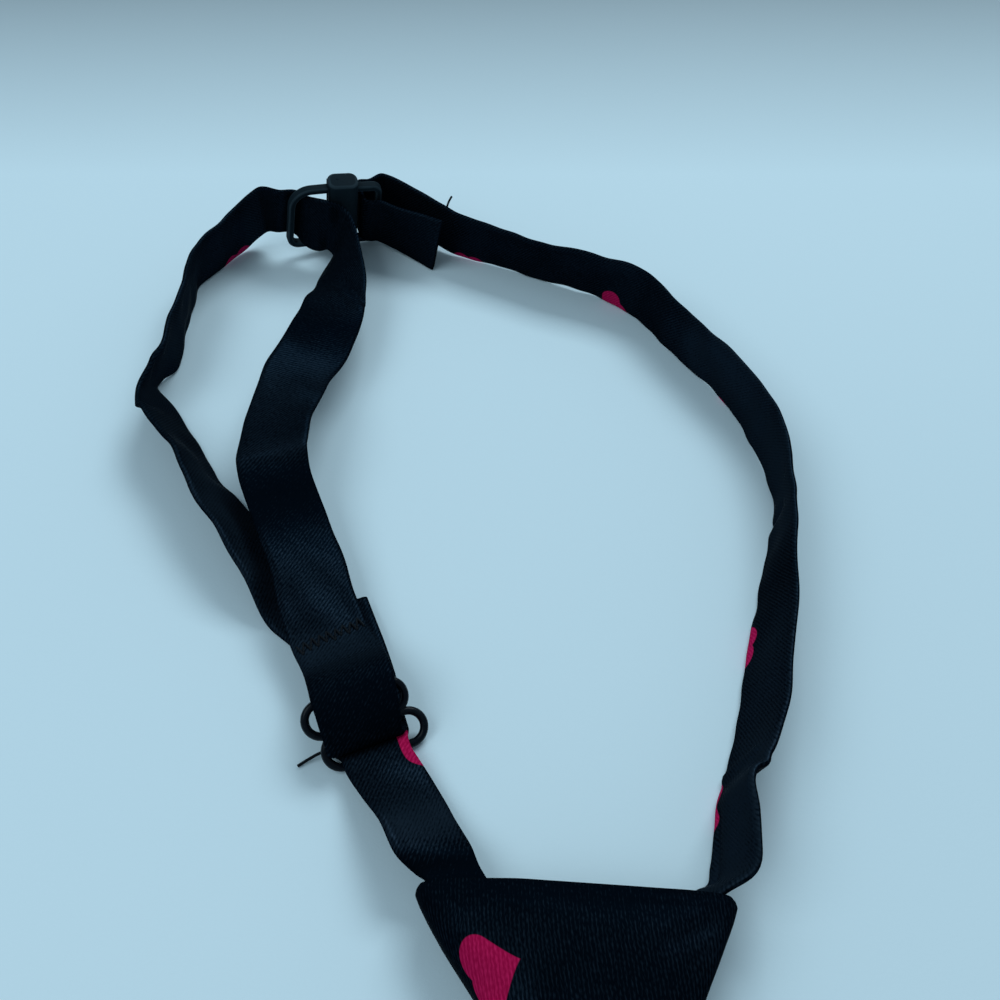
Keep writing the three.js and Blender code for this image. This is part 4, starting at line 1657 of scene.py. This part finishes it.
    def neck(self) -> Strap:
        """The strap from the knot round the right side to its sewn tab on the hook."""
        knot_to_side = (
            (11, -9, -40, 0, 8.6, 9),
            (15, -5.8, -38, 30, 8.4, 8),
            (17.8, -2, -32, 55, 6.6, 6.9),
            (21, 0.7, -24, 60, 6.9, 8.8),
            (24.6, 2.6, -16, 64, 7.8, 12.6),
            (25.9, 6.2, -10, 67, 7.6, 14.4),
        )
        side_to_clasp = (
            (26.7, 11.6, -9, 72),
            (27.5, 17, -12, 75),
            (31, 23, -18, 67),
            (33.8, 29, -20, 65),
            (37, 40, -18, 65),
            (40.6, 53, -15, 69),
            (44, 67, -13, 76),
            (46.9, 78, -8, 81),
            (48.2, 83.4, -5, 89),
            (48.5, 89, -1, 87),
            (48.1, 99, 6, 84),
            (44.7, 113.4, 20, 88),
            (38, 127, 28, 91),
            (30.5, 140, 30, 89),
            (24.3, 151.6, 42, 88),
            (14.2, 159.1, 61, 100),
            (2, 164.9, 60, 105),
            (-10, 171.6, 62, 105),
            (-19, 176, 72, 100),
        )
        behind_clasp = ((-26.5, 180.6, 80, 96, 8.4), (-33, 185.8, 95, 98, 9.4), (-43, 191, 108, 98, 11.4))
        round_hook = (
            (8.2, 4.3, 10.4),
            (5.6, 4.25, 10.4),
            (4.65, 3.15, 10.3),
            (5.45, 1.4, 10.1),
            (5.6, -0.3, 9.9),
            (6.4, -2.2, 9.7),
            (8.2, -2.8, 9.6),
            (10, -2.8, 9.6),
        )
        hook_tab = ((-38.2, 179.3, 100, 96, 8.1), (-27.8, 173.2, 23, 76, 7.4))
        rows = [
            *rows_of(knot_to_side, side_to_clasp, behind_clasp),
            *(row_on(self.clasp.place, point, (0, 0, 1)) for point in round_hook),
            *rows_of(hook_tab),
        ]
        return Strap(
            "neck_strap_cloth", "neck_strap", rows, -1,
            hearts=[
                Heart(-10.3, 33.2, 8.0, 180.0),
                Heart(-9.4, 67.0, 8.0, 180.0),
                Heart(-12.1, 140.5, 8.0, 133.0),
                Heart(-8.2, 185.2, 8.0, 133.0),
                Heart(-10.3, 228.0, 8.0, 180.0),
            ],
            folds=[
                Fold((-5.2, 31.0), (-4.0, 18.0), -0.6, 0.9),
                Fold((-7.5, 38.6), (3.0, 41.0), 0.5, 1.0),
                Fold((3.0, 37.4), (7.5, 37.0), -0.8, 1.2),
                Fold((-7.5, 98.6), (-1.0, 99.4), -0.7, 1.3),
            ],
            # Painted light: lit stretches of the strap painted lighter
            gloss_and_painted_light=[
                Fold((-3.0, 14.0), (4.0, 33.0), 1.5, 8.0),
                Fold((0.0, 46.0), (0.0, 62.0), 0.7, 9.0),
                Fold((0.0, 96.0), (0.0, 150.0), 1.2, 9.0),
            ],
            tight=[self.knot_right, self.hook_spot], seed=29,
        )

    def zigzag(self, strap: Strap, along: float, slant: float, seed: int) -> list[Loft]:
        """A band of zigzag stitches across a strap.

        Args:
            strap: the strap.
            along: how far the band's middle is from the knot's end.
            slant: how far the band moves along for each step across.
            seed: what makes the stitches uneven.

        Returns:
            The stitches' skins.
        """
        chance = np.random.default_rng(seed)
        ends = np.linspace(-self.stitch_reach, self.stitch_reach, self.stitch_count + 1)
        swing = np.where(np.arange(len(ends)) % 2, self.stitch_swing, -self.stitch_swing)
        stray_along = chance.uniform(-self.stitch_stray_along, self.stitch_stray_along, len(ends))
        stray_across = chance.uniform(-self.stitch_stray_across, self.stitch_stray_across, len(ends))
        corners = np.column_stack((ends + stray_across, along + slant * ends + swing + stray_along))
        parts = np.linspace(0.0, 1.0, self.stitch_points)
        lifts = self.stitch_radius * (self.stitch_arch * np.sin(parts * math.pi) - self.stitch_sunk)
        stitches = []
        for start, end in zip(corners[:-1], corners[1:]):
            line = [
                strap.surface(*(start + part * (end - start)), lift) for part, lift in zip(parts, lifts)
            ]
            stitches.append(tube(np.array(line), self.stitch_radius))
        return stitches

    def loose_end(self, points: Sequence[Place]) -> list[Loft]:
        """A short loose end of thread through a few points."""
        return [tube(smooth_rows(np.array(points), self.thread_step), self.thread_radius)]

    def build(self, satin: Material, thread: Material) -> None:
        """Makes the straps and their sewing and dresses them."""
        adjuster, neck = self.adjuster(), self.neck()
        slider_seam = self.zigzag(adjuster, self.slider_tab_seam, self.slider_tab_slant, self.slider_tab_seed)
        hook_seam = self.zigzag(neck, self.hook_tab_seam, 0.0, self.hook_tab_seed)
        sewn = (
            (adjuster, "slider", slider_seam, self.loose_end(self.loose_at_slider)),
            (neck, "hook", hook_seam, self.loose_end(self.loose_at_hook)),
        )
        sewing = {
            strap.name: [
                fit_out(make_piece(f"{tab}_tab_stitches", seam), thread),
                fit_out(make_piece(f"{tab}_loose_thread", loose), thread),
            ]
            for strap, tab, seam, loose in sewn
        }
        for strap in (adjuster, neck):
            strap.build(satin)
            log.info("%s is %.0f mm long", strap.name, strap.length)


# Table, light and camera


@dataclass(frozen=True)
class Lamp:
    """A soft flat lamp: its place, its aim and its two sides in metres, and its watts."""

    name: str
    at: Place
    aim: Place
    sides: tuple[float, float]
    power: float

    def build(self, tint: Colour) -> None:
        """Makes the lamp in a tint and hangs it."""
        data = bpy.data.lights.new(self.name, "AREA")
        data.shape = "RECTANGLE"
        data.size, data.size_y = self.sides
        data.energy = self.power
        data.color = tint
        lamp = bpy.data.objects.new(self.name, data)
        lamp.location = self.at
        lamp.rotation_euler = (Vector(self.aim) - Vector(self.at)).to_track_quat("-Z", "Y").to_euler()
        bpy.context.scene.collection.objects.link(lamp)


@dataclass
class Studio:
    """A pale table under a panel of light at the back and a weaker lamp, seen from above the knot.

    The eye is in millimetres from the knot, and the table and its drop are in metres.
    """

    eye: Place = (-11.0, -57.0, 161.0)
    look_down: float = 48.0
    lens: float = 36.0
    sensor: float = 36.0
    nearest: float = 0.005
    table_size: float = 3.0
    table_drop: float = 0.00005
    lamps: tuple[Lamp, ...] = (
        Lamp("back_panel", (0.42, 0.98, 1.12), (-0.02, 0.05, 0.0), (1.0, 0.54), 10.5),
        Lamp("overhead", (-0.58, -0.20, 0.80), (-0.22, -0.05, 0.0), (0.8, 0.6), 3.1),
    )
    lamp_tint: Colour = (0.80, 0.95, 1.0)
    surround_tint: Colour = (0.69, 0.89, 1.0)
    surround_strength: float = 0.29

    def build(self, paper: Material) -> None:
        """Makes the table, the lights and the camera."""
        self.make_table(paper)
        for lamp in self.lamps:
            lamp.build(self.lamp_tint)
        self.make_surround()
        self.make_camera()

    def make_table(self, paper: Material) -> None:
        """A flat table under everything."""
        reach = self.table_size / 2
        corners = ((-reach, -reach), (reach, -reach), (reach, reach), (-reach, reach))
        mesh = bpy.data.meshes.new("table")
        mesh.from_pydata([(x, y, -self.table_drop) for x, y in corners], [], [(0, 1, 2, 3)])
        mesh.materials.append(paper)
        table = bpy.data.objects.new("table", mesh)
        bpy.context.scene.collection.objects.link(table)

    def make_surround(self) -> None:
        """A soft blue light from all round, and plain tones."""
        world = bpy.data.worlds.new("surround")
        world.use_nodes = True
        surround = world.node_tree.nodes["Background"]
        surround.inputs["Color"].default_value = (*self.surround_tint, 1.0)
        surround.inputs["Strength"].default_value = self.surround_strength
        bpy.context.scene.world = world
        bpy.context.scene.view_settings.view_transform = "Standard"

    def make_camera(self) -> None:
        """The camera at the photograph's place."""
        data = bpy.data.cameras.new("camera")
        data.lens = self.lens
        data.sensor_width = self.sensor
        data.clip_start = self.nearest
        camera = bpy.data.objects.new("camera", data)
        camera.location = (np.array(self.eye) + tie_shift()) * MM
        camera.rotation_euler = (math.radians(90 - self.look_down), 0, 0)
        bpy.context.scene.collection.objects.link(camera)
        bpy.context.scene.camera = camera


def main() -> None:
    """Builds the tie piece by piece on its table."""
    logging.basicConfig(level=logging.INFO, format="%(message)s")
    Studio().build(Table().material())
    satin = Satin().material()
    slider, clasp = Slider(), Clasp()
    slider.build(PaintedWire().material())
    clasp.build(MouldedClasp().material())
    Knot().build(satin)
    Blade().build(satin)
    Straps(slider, clasp).build(satin, Thread().material())


if __name__ == "__main__":
    main()
